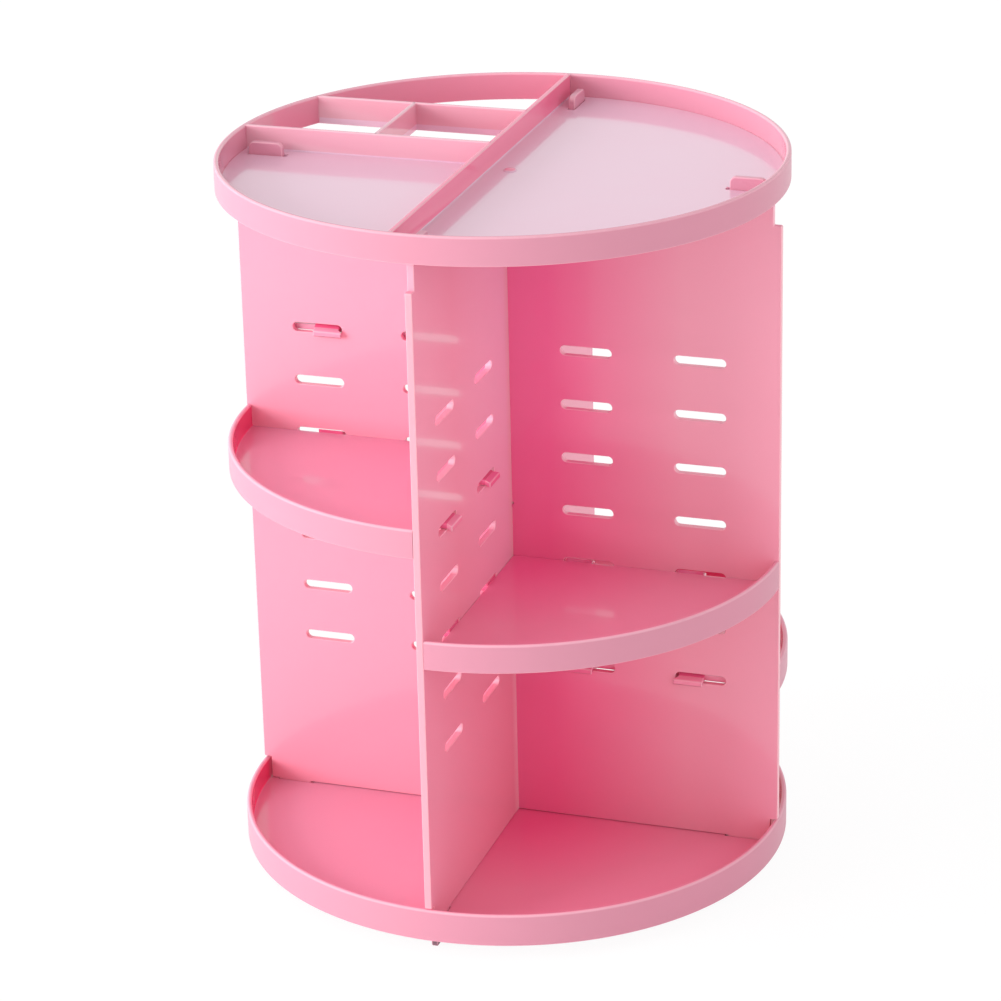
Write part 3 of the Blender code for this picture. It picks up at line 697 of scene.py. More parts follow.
@dataclass(frozen=True)
class GlossPlastic(Finish):
    """Injection-moulded gloss plastic.

    The colour changes by layers, from the axis outward and up the piece, several of them painted
    shade and painted light, and it clouds slowly and swirls finely. The crests of the edges are
    paler, partly a painted highlight and partly wear, the polish varies with the tool's own and
    with fine wipe marks, and the surface sinks and ripples very slightly.
    """

    layers: tuple[Layer, ...] = ()
    cloud_scale: float = 14.0
    swirl_scale: float = 70.0
    wipe_scale: float = 160.0
    wipe_stretch: Place = (1.0, 0.35, 2.6)
    grain_scale: float = 1500.0
    clouding: float = 0.08
    cloud_share: float = 0.7
    cloud_contrast: float = 1.6
    # How far the edge crests pale: a painted highlight, partly wear.
    edge_highlight_and_wear: float = 0.45
    swirled_highlight_and_wear: float = 0.3
    cloud_polish: float = 0.03
    wipe_polish: float = 0.06
    edge_polish: float = 0.05
    dulled: float = 0.2
    cloud_relief: float = 0.6
    swirl_relief: float = 0.05
    fine_relief: float = 0.0015
    coat: float = 0.4

    def layered_colour(self, shader: ShaderTree, place: bpy.types.NodeSocket) -> tuple[object, Value]:
        """The layered colour with its painted shade and light, and the gloss's dulling, from 0 to 1.

        The reach is the square root of x squared plus y squared, and the offset the smaller of
        their sizes. A layer covers (measure - bare) / (full - bare) of what lies under it, kept
        between 0 and 1, times its share.

        Args:
            shader: the tree that the nodes go into.
            place: the point on the piece that the patterns read.

        Returns:
            The colour and the dulling.
        """
        x, y, z = shader.axes(place)
        measures = {
            Measure.REACH: (x * x + y * y) ** 0.5,
            Measure.SIDE: x,
            Measure.DEPTH: y,
            Measure.HEIGHT: z,
            Measure.OFFSET: abs(x) & abs(y),
            Measure.INWARD: shader.attribute("inward"),
        }
        colour, dulling = self.colour, x * 0.0
        for layer in self.layers:
            slope = 1.0 / (layer.full - layer.bare)
            cover = ((measures[layer.measure] - layer.bare) * slope).clamped() * layer.share
            colour = shader.mix(cover, colour, layer.colour)
            dulling = dulling | cover * layer.dulling
        return colour, dulling

    def sockets(self, shader: ShaderTree, place: bpy.types.NodeSocket) -> dict[str, object]:
        """Clouded, layered colour, painted shade and light among it, under a clear, polished skin.

        Args:
            shader: the tree that the nodes go into.
            place: the point on the piece that the patterns read.

        Returns:
            The sockets' values.
        """
        cloud = shader.noise(place, self.cloud_scale, detail=2.0)
        swirl = shader.noise(place, self.swirl_scale, detail=5.0, distortion=1.4)
        stretched = shader.node("Mapping", Vector=place, Scale=self.wipe_stretch).outputs["Vector"]
        wipe = shader.noise(stretched, self.wipe_scale, detail=6.0, distortion=0.6)
        grain = shader.noise(place, self.grain_scale, detail=2.0)
        edge = shader.attribute("crest")
        layered_colour, dulling = self.layered_colour(shader, place)
        blend = cloud * self.cloud_share + swirl * (1.0 - self.cloud_share)
        clouding = ((blend - 0.5) * self.cloud_contrast + 0.5).clamped() * self.clouding
        clouded = shader.mix(clouding, layered_colour, DEEP_PINK)
        # The edge crests turn paler: a painted highlight, partly wear, varied by the swirl.
        highlight_wear_mask = (edge * (self.edge_highlight_and_wear + self.swirled_highlight_and_wear * swirl)).clamped()
        polish = (cloud - 0.5) * self.cloud_polish + (wipe - 0.5) * self.wipe_polish
        roughness = self.roughness + (polish + edge * self.edge_polish) + dulling * self.dulled
        height = cloud * self.cloud_relief + swirl * self.swirl_relief + (wipe + grain) * self.fine_relief
        return {
            "Base__Color": shader.mix(highlight_wear_mask, clouded, HIGHLIGHT_WEAR_PINK),
            "Roughness": roughness.clamped(),
            "Normal": shader.bump(self.relief, height),
            "IOR": 1.57,
            "Specular__IOR__Level": 0.2,
            "Coat__Weight": (1.0 - dulling) * self.coat,
            "Coat__Roughness": 0.05,
            "Coat__IOR": 1.55,
        }


@dataclass(frozen=True)
class Metal(Finish):
    """Polished or plated steel, with fine lapping marks and slight tarnish."""

    tarnished: Colour
    tarnish_scale: float = 260.0
    tarnish_fall: float = 2.0
    tarnish_dulling: float = 0.15
    mark_scale: float = 2600.0

    def sockets(self, shader: ShaderTree, place: bpy.types.NodeSocket) -> dict[str, object]:
        """Bare metal that dulls where it is tarnished.

        Args:
            shader: the tree that the nodes go into.
            place: the point on the piece that the patterns read.

        Returns:
            The sockets' values.
        """
        tarnish = shader.noise(place, self.tarnish_scale, detail=4.0, distortion=0.8)
        return {
            "Base__Color": shader.mix(tarnish ** self.tarnish_fall, self.colour, self.tarnished),
            "Metallic": 1.0,
            "Roughness": self.roughness + (tarnish - 0.5) * self.tarnish_dulling,
            "Normal": shader.bump(self.relief, shader.noise(place, self.mark_scale, detail=3.0)),
        }


@dataclass(frozen=True)
class MattMoulding(Finish):
    """Matt rubber or undyed plastic with a fine spark-eroded grain and a little dust."""

    dusty: Colour
    grain_scale: float
    dust_scale: float = 120.0
    dust_start: float = 0.45
    dust_slope: float = 2.5
    dust_dulling: float = 0.2

    def sockets(self, shader: ShaderTree, place: bpy.types.NodeSocket) -> dict[str, object]:
        """Plain colour under dust.

        Args:
            shader: the tree that the nodes go into.
            place: the point on the piece that the patterns read.

        Returns:
            The sockets' values.
        """
        dust = shader.noise(place, self.dust_scale, detail=6.0, distortion=0.4)
        settled = ((dust - self.dust_start) * self.dust_slope).clamped()
        return {
            "Base__Color": shader.mix(settled, self.colour, self.dusty),
            "Roughness": (self.roughness + (dust - 0.5) * self.dust_dulling).clamped(),
            "Normal": shader.bump(self.relief, shader.noise(place, self.grain_scale, detail=3.0)),
        }


# Colours, and the layers that they lie in; several are painted shade and painted light

# Paler pink for the edge crests: a painted highlight, partly wear.
HIGHLIGHT_WEAR_PINK = linear(255, 196, 210)
PALE_PINK = linear(248, 168, 188)
FLOOR_PINK = linear(249, 151, 179)
# Painted shade for the trays' left halves, which the light from the left hits harder.
LEFT_FLOOR_SHADE_PINK = linear(222, 158, 182)
# Deep pink: the clouding's tone, and the painted shade at the axis and behind it.
DEEP_PINK = linear(253, 112, 164)
# Painted shade for the lugs.
LUG_SHADE_PINK = linear(236, 100, 145)
# Painted shade low on the panels.
LOW_SHADE_PINK = linear(236, 106, 138)
# Painted light along the panels' crossing.
SEAM_LIGHT_PINK = linear(252, 190, 204)
# Painted light near the axis on the deep panel.
AXIS_LIGHT_PINK = linear(255, 196, 221)
RIM_PINK = linear(218, 149, 168)
# Painted shade for the rims' inner faces.
INNER_RIM_SHADE_PINK = linear(237, 66, 118)
# Painted light for the panels' end faces.
END_LIGHT_PINK = linear(250, 168, 182)
# Painted shade for the upper tab tips.
TAB_SHADE_PINK = linear(224, 156, 176)
# Painted shade for the lower tab tips.
TIP_SHADE_GREY = linear(128, 106, 116)
TOP_FLOOR_PINK = linear(240, 200, 221)
# Painted light and shade: lit and shaded copies of the top tray's wall pink.
TOP_WALL_LIT_PINK = linear(236, 176, 192)
DIVIDER_SHADE_PINK = linear(250, 132, 165)
TOP_RIM_PINK = linear(228, 154, 174)
STAND_PINK = linear(238, 138, 162)

# Painted shade: a little deeper pink towards the bottom of the panels.
SHADE_BELOW = Layer(Measure.HEIGHT, 0.2400, 0.0400, LOW_SHADE_PINK, share=0.2)
# Painted shade: deeper pink towards the turning axis, in the corners where the panels cross.
SHADE_AT_AXIS = Layer(Measure.REACH, 0.0750, 0.0180, DEEP_PINK)
# Keeps the painted shade at the axis to the wide panel's right half; its left half stays plain pale pink.
UNSHADED_ON_LEFT = Layer(Measure.SIDE, -0.0020, -0.0200, PALE_PINK)
# Painted shade: the trays' left halves muted to a duller pink.
SHADE_ON_LEFT_FLOORS = Layer(Measure.SIDE, -0.0020, -0.0200, LEFT_FLOOR_SHADE_PINK, share=0.8)
DEEP_BEHIND = Layer(Measure.DEPTH, 0.0020, 0.0300, DEEP_PINK, share=0.55)
# Painted light: the deep panel paler towards the turning axis, against the corner shade; PLAIN_BELOW keeps
# it off the lower part.
LIGHT_AT_AXIS = Layer(Measure.REACH, 0.0700, 0.0120, AXIS_LIGHT_PINK)
PLAIN_BELOW = Layer(Measure.HEIGHT, 0.1200, 0.0850, PALE_PINK)
# Painted light: a pale band on the deep panel at the crossing, for light coming through the joint's gap.
LIT_SEAM = Layer(Measure.REACH, 0.0075, 0.0030, SEAM_LIGHT_PINK)
# Painted shade: deep crimson on faces that turn towards the axis, the rims' inner faces, away from the
# light.
SHADE_INSIDE_RIM = Layer(Measure.INWARD, 0.3, 0.9, INNER_RIM_SHADE_PINK)
DULL_RIM = Layer(Measure.REACH, 0.1141, 0.1145, RIM_PINK, 1.0)
# Painted shade: deeper pink on the lugs, close to the panels' middle planes, in the slots' shade.
SHADE_ON_LUGS = Layer(Measure.OFFSET, 0.0015, 0.0013, LUG_SHADE_PINK)
PANEL_LAYERS = (
    # Painted light: paler outer end faces on the panels.
    Layer(Measure.REACH, 0.1144, 0.1148, END_LIGHT_PINK),
    # Painted shade: the upper tab tips, above the top tray's floor, a darker, greyer pink, and duller.
    Layer(Measure.HEIGHT, 0.2918, 0.2922, TAB_SHADE_PINK, 0.5),
    # Painted shade: the lower tab tips, in the shadow under the base tray, dark grey and dull.
    Layer(Measure.HEIGHT, 0.0066, 0.0050, TIP_SHADE_GREY, 1.0),
)
TRAY_LAYERS = (SHADE_AT_AXIS, SHADE_ON_LEFT_FLOORS, SHADE_INSIDE_RIM, DULL_RIM)
TOP_TRAY_LAYERS = (
    # Painted light and shade: the cell walls a paler pink, the divider, which faces right, a deeper one.
    Layer(Measure.HEIGHT, 0.2942, 0.2946, TOP_WALL_LIT_PINK),
    Layer(Measure.SIDE, -0.0086, -0.0083, DIVIDER_SHADE_PINK),
    Layer(Measure.HEIGHT, 0.2946, 0.2942, TOP_FLOOR_PINK),
    Layer(Measure.REACH, 0.1122, 0.1126, TOP_RIM_PINK),
    DULL_RIM,
)
WIDE_PANEL_LAYERS = (SHADE_AT_AXIS, UNSHADED_ON_LEFT, SHADE_BELOW, *PANEL_LAYERS)
DEEP_PANEL_LAYERS = (LIGHT_AT_AXIS, PLAIN_BELOW, DEEP_BEHIND, SHADE_BELOW, LIT_SEAM, *PANEL_LAYERS)

STEEL = (0.60, 0.60, 0.61, 1.0)
TARNISHED_STEEL = (0.42, 0.41, 0.40, 1.0)
ZINC = (0.58, 0.58, 0.56, 1.0)
TARNISHED_ZINC = (0.40, 0.40, 0.37, 1.0)
BLACK_RUBBER = (0.022, 0.022, 0.024, 1.0)
DUSTY_RUBBER = (0.07, 0.068, 0.066, 1.0)
UNDYED = (0.78, 0.77, 0.72, 1.0)
DUSTY_UNDYED = (0.66, 0.64, 0.58, 1.0)


class Finishes:
    """The finishes of this object, each made once and kept by its name."""

    ALL = (
        GlossPlastic("base_tray_plastic", FLOOR_PINK, 0.18, 0.00012, TRAY_LAYERS),
        GlossPlastic("panel_plastic", PALE_PINK, 0.18, 0.00010, WIDE_PANEL_LAYERS),
        # The deep panel's finish carries painted light at the crossing and near the axis.
        GlossPlastic("seam_lit_panel_plastic", PALE_PINK, 0.18, 0.00010, DEEP_PANEL_LAYERS),
        GlossPlastic("top_tray_plastic", TOP_FLOOR_PINK, 0.12, 0.00006, TOP_TRAY_LAYERS),
        GlossPlastic("shelf_plastic", FLOOR_PINK, 0.18, 0.00010, (*TRAY_LAYERS, SHADE_ON_LUGS)),
        GlossPlastic("turntable_plastic", STAND_PINK, 0.30, 0.00010),
        Metal("ball_steel", STEEL, 0.14, 0.000004, TARNISHED_STEEL),
        Metal("zinc_steel", ZINC, 0.32, 0.000010, TARNISHED_ZINC),
        MattMoulding("foot_rubber", BLACK_RUBBER, 0.78, 0.00004, DUSTY_RUBBER, 1900.0),
        MattMoulding("cage_plastic", UNDYED, 0.45, 0.00002, DUSTY_UNDYED, 1200.0),
    )

    def __init__(self) -> None:
        """Build every finish's material."""
        self.materials = {finish.name: finish.material() for finish in self.ALL}

    def dress(
        self, making: str, node: str, surface: Surface, slot: str, body: Body, finish: str | None = None
    ) -> None:
        """Make the piece that stands for a node, finish it and let it ride.

        Args:
            making: how the piece is made, the first word of its name.
            node: the node that it replaces, the rest of its name.
            surface: its whole surface.
            slot: the record's material slot.
            body: the body that it rides on.
            finish: the finish's name, where it isn't the slot's.
        """
        name = f"{making}_{node}"
        mesh = bpy.data.meshes.new(name)
        faces = surface.quads.tolist() + surface.triangles.tolist()
        mesh.from_pydata(surface.vertices.tolist(), [], faces)
        for attribute, values in (("crest", surface.crest), ("inward", surface.inward())):
            stored = mesh.attributes.new(attribute, "FLOAT", "POINT")
            stored.data.foreach_set("value", values.astype(np.float32))
        mesh.materials.append(self.materials[finish or slot])
        mesh.shade_smooth()
        mesh.normals_split_custom_set_from_vertices(surface.normals.tolist())
        piece = placed(name, mesh)
        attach(piece, body.value)
        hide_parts(node)
        log.info("%s: %d faces, rides on %s", name, len(faces), body.value)


# Sub-assemblies


@dataclass(frozen=True)
class PanelEnd:
    """A panel's upper or lower end: how far its tabs stand out, their tips and its notches."""

    tab_length: float
    tab_corner: float
    notch_height: float


@dataclass(frozen=True)
class PanelForm:
    """Sizes that both crossed panels share, and the rows of slots in them."""

    thickness: float = 0.0028
    notch_inset: float = 0.0033
    tab_outer_inset: float = 0.0065
    tab_width: float = 0.0146
    tab_inner_play: float = 0.0014
    tab_rounding: float = 0.0006
    upper_end: PanelEnd = PanelEnd(0.0076, 0.0025, 0.0113)
    lower_end: PanelEnd = PanelEnd(0.0103, 0.0006, 0.0098)
    corner: float = 0.0007
    inner_corner: float = 0.0004
    edge_rounding: float = 0.00035
    levels: int = 7
    pitch: float = 0.0232
    slot_length: float = 0.0216
    slot_height: float = 0.0040
    slot_offsets: Point = (0.0341, 0.0818)
    lower_solid_tab: float = 0.0092
    lap_gap: float = 0.00002
    lap_relief: float = 0.0006
    tab_slot_corner: float = 0.0004
    tab_slot_rounding: float = 0.00025

    def level_height(self, level: int) -> float:
        """The height of a level's slot centres, level 1 at the top."""
        bottom, top = self.shoulders("wide_panel")
        return (bottom + top) / 2 + ((self.levels + 1) / 2 - level) * self.pitch

    def shoulders(self, node: str) -> Point:
        """The heights of a panel's lower and upper shoulder."""
        low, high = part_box(node)
        return low[2] + self.lower_solid_tab, high[2] - self.upper_end.tab_length

    def tab_slots(self) -> list[Outline]:
        """The four holes in a tray floor that the tabs pass through, with play on the inner side.

        Returns:
            The holes' outlines.
        """
        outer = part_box("wide_panel")[1][0] - self.tab_outer_inset + SEAT_GAP
        long_side = self.tab_width + self.tab_inner_play + 2 * SEAT_GAP
        short_side = self.thickness + 2 * SEAT_GAP
        reach = outer - long_side / 2
        wide, deep = (long_side, short_side), (short_side, long_side)
        places = [((reach, 0.0), wide), ((-reach, 0.0), wide), ((0.0, reach), deep), ((0.0, -reach), deep)]
        return [
            Outline.box(centre, size, self.tab_slot_corner, steps=3, rounding=self.tab_slot_rounding).hole()
            for centre, size in places
        ]


@dataclass(frozen=True)
class Panel:
    """One slotted panel, with tabs above and below and half a cross joint in its middle."""

    node: str
    lap_from_top: bool
    across: Place
    finish: str
    form: PanelForm

    def half_end(self, half_width: float, shoulder: float, outward: float, end: PanelEnd) -> list[tuple]:
        """The corners of one end of the right half, from its tab's inner root outward.

        Args:
            half_width: how far the panel reaches from the turning axis.
            shoulder: the height of the shoulder that the tab stands on.
            outward: 1 for the upper end, -1 for the lower one.
            end: the end's sizes.

        Returns:
            (x, height, corner radius, edge rounding) for each corner.
        """
        form = self.form
        tab_outer = half_width - form.tab_outer_inset
        tab_inner = tab_outer - form.tab_width
        notch = half_width - form.notch_inset
        tip = shoulder + outward * end.tab_length
        notch_end = shoulder - outward * end.notch_height
        inside = (form.inner_corner, form.edge_rounding)
        outside = (form.corner, form.edge_rounding)
        at_tip = (end.tab_corner, form.tab_rounding)
        return [
            (tab_inner, shoulder, *inside),
            (tab_inner, tip, *at_tip),
            (tab_outer, tip, *at_tip),
            (tab_outer, shoulder, *inside),
            (notch, shoulder, *outside),
            (notch, notch_end, *inside),
            (half_width, notch_end, *outside),
        ]

    def lap_side(self, lap: float, mouth: float, end: float) -> list[tuple]:
        """One side of the lap slot, from its mouth to its end, where a small relief is cut.

        Args:
            lap: how far the side lies from the turning axis.
            mouth: the height of the slot's mouth.
            end: the height of its end.

        Returns:
            (x, height, corner radius, edge rounding) for each corner.
        """
        relief, tight = self.form.lap_relief, self.form.lap_gap
        relief_mouth = end + math.copysign(2 * relief, mouth - end)
        fine = relief / 4
        return [
            (lap, mouth, tight, tight),
            (lap, relief_mouth, fine, tight),
            (lap + relief, relief_mouth, fine, tight),
            (lap + relief, end, fine, tight),
        ]

    def outline(self) -> Outline:
        """The panel's edge: up the right half from the middle, and its mirror image down.

        Returns:
            The outline in the panel's plane.
        """
        form = self.form
        half_width = max(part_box(self.node)[1][:2])
        bottom, top = form.shoulders(self.node)
        lap = form.thickness / 2 + form.lap_gap
        middle = (bottom + top) / 2
        rising = self.half_end(half_width, bottom, -1.0, form.lower_end)
        falling = self.half_end(half_width, top, 1.0, form.upper_end)[::-1]
        right = rising + falling
        if self.lap_from_top:
            right += self.lap_side(lap, top, middle - form.lap_gap / 2)
        else:
            right = self.lap_side(lap, bottom, middle + form.lap_gap / 2)[::-1] + right
        mirrored = [(-x, *rest) for x, *rest in reversed(right)]
        return Outline.traced(right + mirrored, steps=5)

    def slots(self) -> list[Outline]:
        """The rows of round-ended slots, two on each side of the middle.

        Returns:
            The holes' outlines.
        """
        form = self.form
        size, end = (form.slot_length, form.slot_height), form.slot_height / 2
        centres = [
            (side * offset, form.level_height(level))
            for level in range(1, form.levels + 1)
            for side in (-1, 1)
            for offset in form.slot_offsets
        ]
        return [
            Outline.box(centre, size, end, steps=8, rounding=form.edge_rounding).hole() for centre in centres
        ]

    def build(self, finishes: Finishes) -> None:
        """Make the panel.

        Args:
            finishes: the finishes that dress it.
        """
        run = StraightRun((0.0, 0.0, 0.0), self.across, UP)
        surface = prism([self.outline(), *self.slots()], run, self.form.thickness)
        finishes.dress("moulded", self.node, surface, "panel_plastic", Body.CAROUSEL, self.finish)


@dataclass(frozen=True)
class TrayForm:
    """Sizes that the round and quarter-round trays share.

    step is the small offset that keeps two faces from coinciding, such as a floor's underside
    and its rim's.
    """

    wall: float = 0.0022
    step: float = 0.00003
    foot_fillet: float = 0.0009
    foot_reach_share: float = 1.3
    foot_sink: float = 0.00002
    foot_depth: float = 0.0006
    bottom_corner: float = 0.0004
    crest_share: float = 0.96
    round_steps: int = 288

    def rim_section(
        self, radius: float, bottom: float, top: float, floor_top: float | None, rounding: float = 0.0
    ) -> Outline:
        """The rim's section (radius, height): a full-round crest, and a fillet down to the floor.

        Args:
            radius: the rim's outer radius.
            bottom: the height of its lower edge.
            top: the height of its crest.
            floor_top: the floor's height where a fillet meets it, or None without one.
            rounding: how far its end edges are rounded.

        Returns:
            The closed section.
        """
        inner = radius - self.wall
        crest = self.wall / 2 * self.crest_share
        corners = [
            (inner, bottom, self.bottom_corner),
            (radius, bottom, self.bottom_corner),
            (radius, top, crest),
            (inner, top, crest),
        ]
        if floor_top is not None:
            foot = inner - self.foot_reach_share * self.foot_fillet
            foot_top = floor_top - self.foot_sink
            foot_bottom = floor_top - self.foot_depth
            tiny = self.foot_depth / 8
            corners += [
                (inner, foot_top, self.foot_fillet),
                (foot, foot_top, tiny),
                (foot, foot_bottom, tiny),
                (inner, foot_bottom, tiny),
            ]
        return Outline.traced([(*corner, rounding) for corner in corners], steps=8)

    def disc(self, radius: float) -> Outline:
        """A floor's round outline, which ends inside the rim's wall."""
        return Outline.circle(radius - self.wall / 2, self.round_steps)

    def floor(self, outlines: list[Outline], underside: float, top: float) -> Surface:
        """A flat floor between two heights, a small step above the rim's underside."""
        return slab(outlines, underside + self.step, top)


@dataclass(frozen=True)
class BaseTray:
    """The base tray, which holds the panels' lower tabs and runs on the ball race."""

    form: TrayForm
    panels: PanelForm
    floor: float = 0.0021
    skirt: float = 0.0021
    rim_rise: float = 0.0095
    rib_half_width: float = 0.0060
    rib_drop: float = 0.0014
    boss_radius: float = 0.0075
    boss_hole: float = 0.00205
    boss_drop: float = 0.0046
    corner: float = 0.0003

    def build(self, finishes: Finishes) -> None:
        """Make the tray: a pierced floor, a rim with its skirt, and the rib and boss below.

        Args:
            finishes: the finishes that dress it.
        """
        radius, _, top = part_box("base_tray")[1]
        rim_bottom = top - self.rim_rise - self.floor - self.skirt
        underside = rim_bottom + self.skirt
        floor_top = underside + self.floor
        floor = self.form.floor([self.form.disc(radius), *self.panels.tab_slots()], underside, floor_top)
        rim = ring(self.form.rim_section(radius, rim_bottom, top, floor_top), self.form.round_steps)
        root = underside + self.floor / 4
        rib_radii = (RACE_RADIUS - self.rib_half_width, RACE_RADIUS + self.rib_half_width)
        rib = band(rib_radii, (underside - self.rib_drop, root), self.corner, corner_steps=3, steps=192)
        boss_radii = (self.boss_hole, self.boss_radius)
        boss = band(boss_radii, (underside - self.boss_drop, root), self.corner, corner_steps=3, steps=96)
        surface = Surface.joined([floor, rim, rib, boss])
        finishes.dress("moulded", "base_tray", surface, "base_tray_plastic", Body.CAROUSEL)


@dataclass(frozen=True)
class TopTray:
    """The top tray: a divider, three cell walls and a floor that is open under the cells."""

    form: TrayForm
    panels: PanelForm
    floor: float = 0.0021
    wall: float = 0.0020
    crest: float = 0.0006
    divider: float = -0.0072
    front_wall: float = 0.0075
    back_wall: float = 0.0550
    side_wall: float = -0.0564
    floor_corner: float = 0.00005
    gate_place: Point = (0.0025, 0.0020)
    gate_radius: float = 0.0028
    gate_rise: float = 0.0009

    def floor_outline(self, reach: float) -> Outline:
        """The floor's edge: three quarters of a disc, with the open quarter behind on the left.

        Args:
            reach: the disc's radius.

        Returns:
            The closed outline.
        """
        start = math.pi - math.asin(self.front_wall / reach)
        end = FULL_TURN + QUARTER_TURN + math.asin(-self.divider / reach)
        arc = reach * directions(np.linspace(start, end, self.form.round_steps))
        corners = np.concatenate([arc, [(self.divider, self.front_wall)]])
        return Outline.rounded(corners, self.floor_corner, steps=1)

    def straight_wall(self, low: Point, high: Point, bottom: float, top: float) -> Surface:
        """One wall between two points of its centre line, with rounded crest edges.

        Args:
            low: where its centre line starts.
            high: where it ends.
            bottom: the height of its lower edge.
            top: the height of its crest.

        Returns:
            The wall's closed surface.
        """
        start, end = np.asarray(low), np.asarray(high)
        direction = unit(end - start)
        run = StraightRun((*((start + end) / 2), 0.0), (-direction[1], direction[0], 0.0), UP)
        radii = (self.form.bottom_corner, self.form.bottom_corner, self.crest, self.crest)
        section = Outline.box((0.0, (bottom + top) / 2), (self.wall, top - bottom), radii, steps=6)
        return prism([section], run, float(np.linalg.norm(end - start)), edge_steps=1)

    def gate_mark(self) -> Surface:
        """The gate's low dome: half an ellipse, turned about its own axis, with a buried foot.

        Returns:
            The dome, with the tray's floor at the height 0.
        """
        arc = directions(np.linspace(0.0, QUARTER_TURN, num=9))
        foot = np.array([(0.0, -self.floor / 4), (self.gate_radius, -self.floor / 4)])
        points = np.concatenate([foot, arc * (self.gate_radius, self.gate_rise)])
        points[-1, 0] = 0.0
        leans = unit(arc * (self.gate_rise, self.gate_radius))
        normals = np.concatenate([[(0.0, -1.0), (1.0, 0.0)], leans])
        flat = np.zeros(len(points))
        return turned_solid(Outline(points, normals, rounding=flat, crest=flat), steps=48)

    def build(self, finishes: Finishes) -> None:
        """Make the tray.

        Args:
            finishes: the finishes that dress it.
        """
        low, (radius, _, top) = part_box("top_tray")
        underside = low[2]
        floor_top = underside + self.floor
        reach = radius - self.form.wall / 2
        outlines = [self.floor_outline(reach), *self.panels.tab_slots()]
        floor = self.form.floor(outlines, underside, floor_top)
        rim = ring(self.form.rim_section(radius, underside, top, floor_top=None), self.form.round_steps)

        def chord(offset: float) -> float:
            """How far a wall at this offset runs to end inside the rim."""
            return math.sqrt(reach ** 2 - (abs(offset) + self.wall / 2) ** 2)

        lines = [
            ((self.divider, -chord(self.divider)), (self.divider, chord(self.divider))),
            ((-chord(self.front_wall), self.front_wall), (self.divider, self.front_wall)),
            ((-chord(self.back_wall), self.back_wall), (self.divider, self.back_wall)),
            ((self.side_wall, self.front_wall), (self.side_wall, self.back_wall)),
        ]
        walls = [self.straight_wall(start, end, underside, top) for start, end in lines]
        gate = self.gate_mark().moved((*self.gate_place, floor_top))
        surface = Surface.joined([rim, floor, *walls, gate])
        finishes.dress("moulded", "top_tray", surface, "top_tray_plastic", Body.TOP_TRAY)


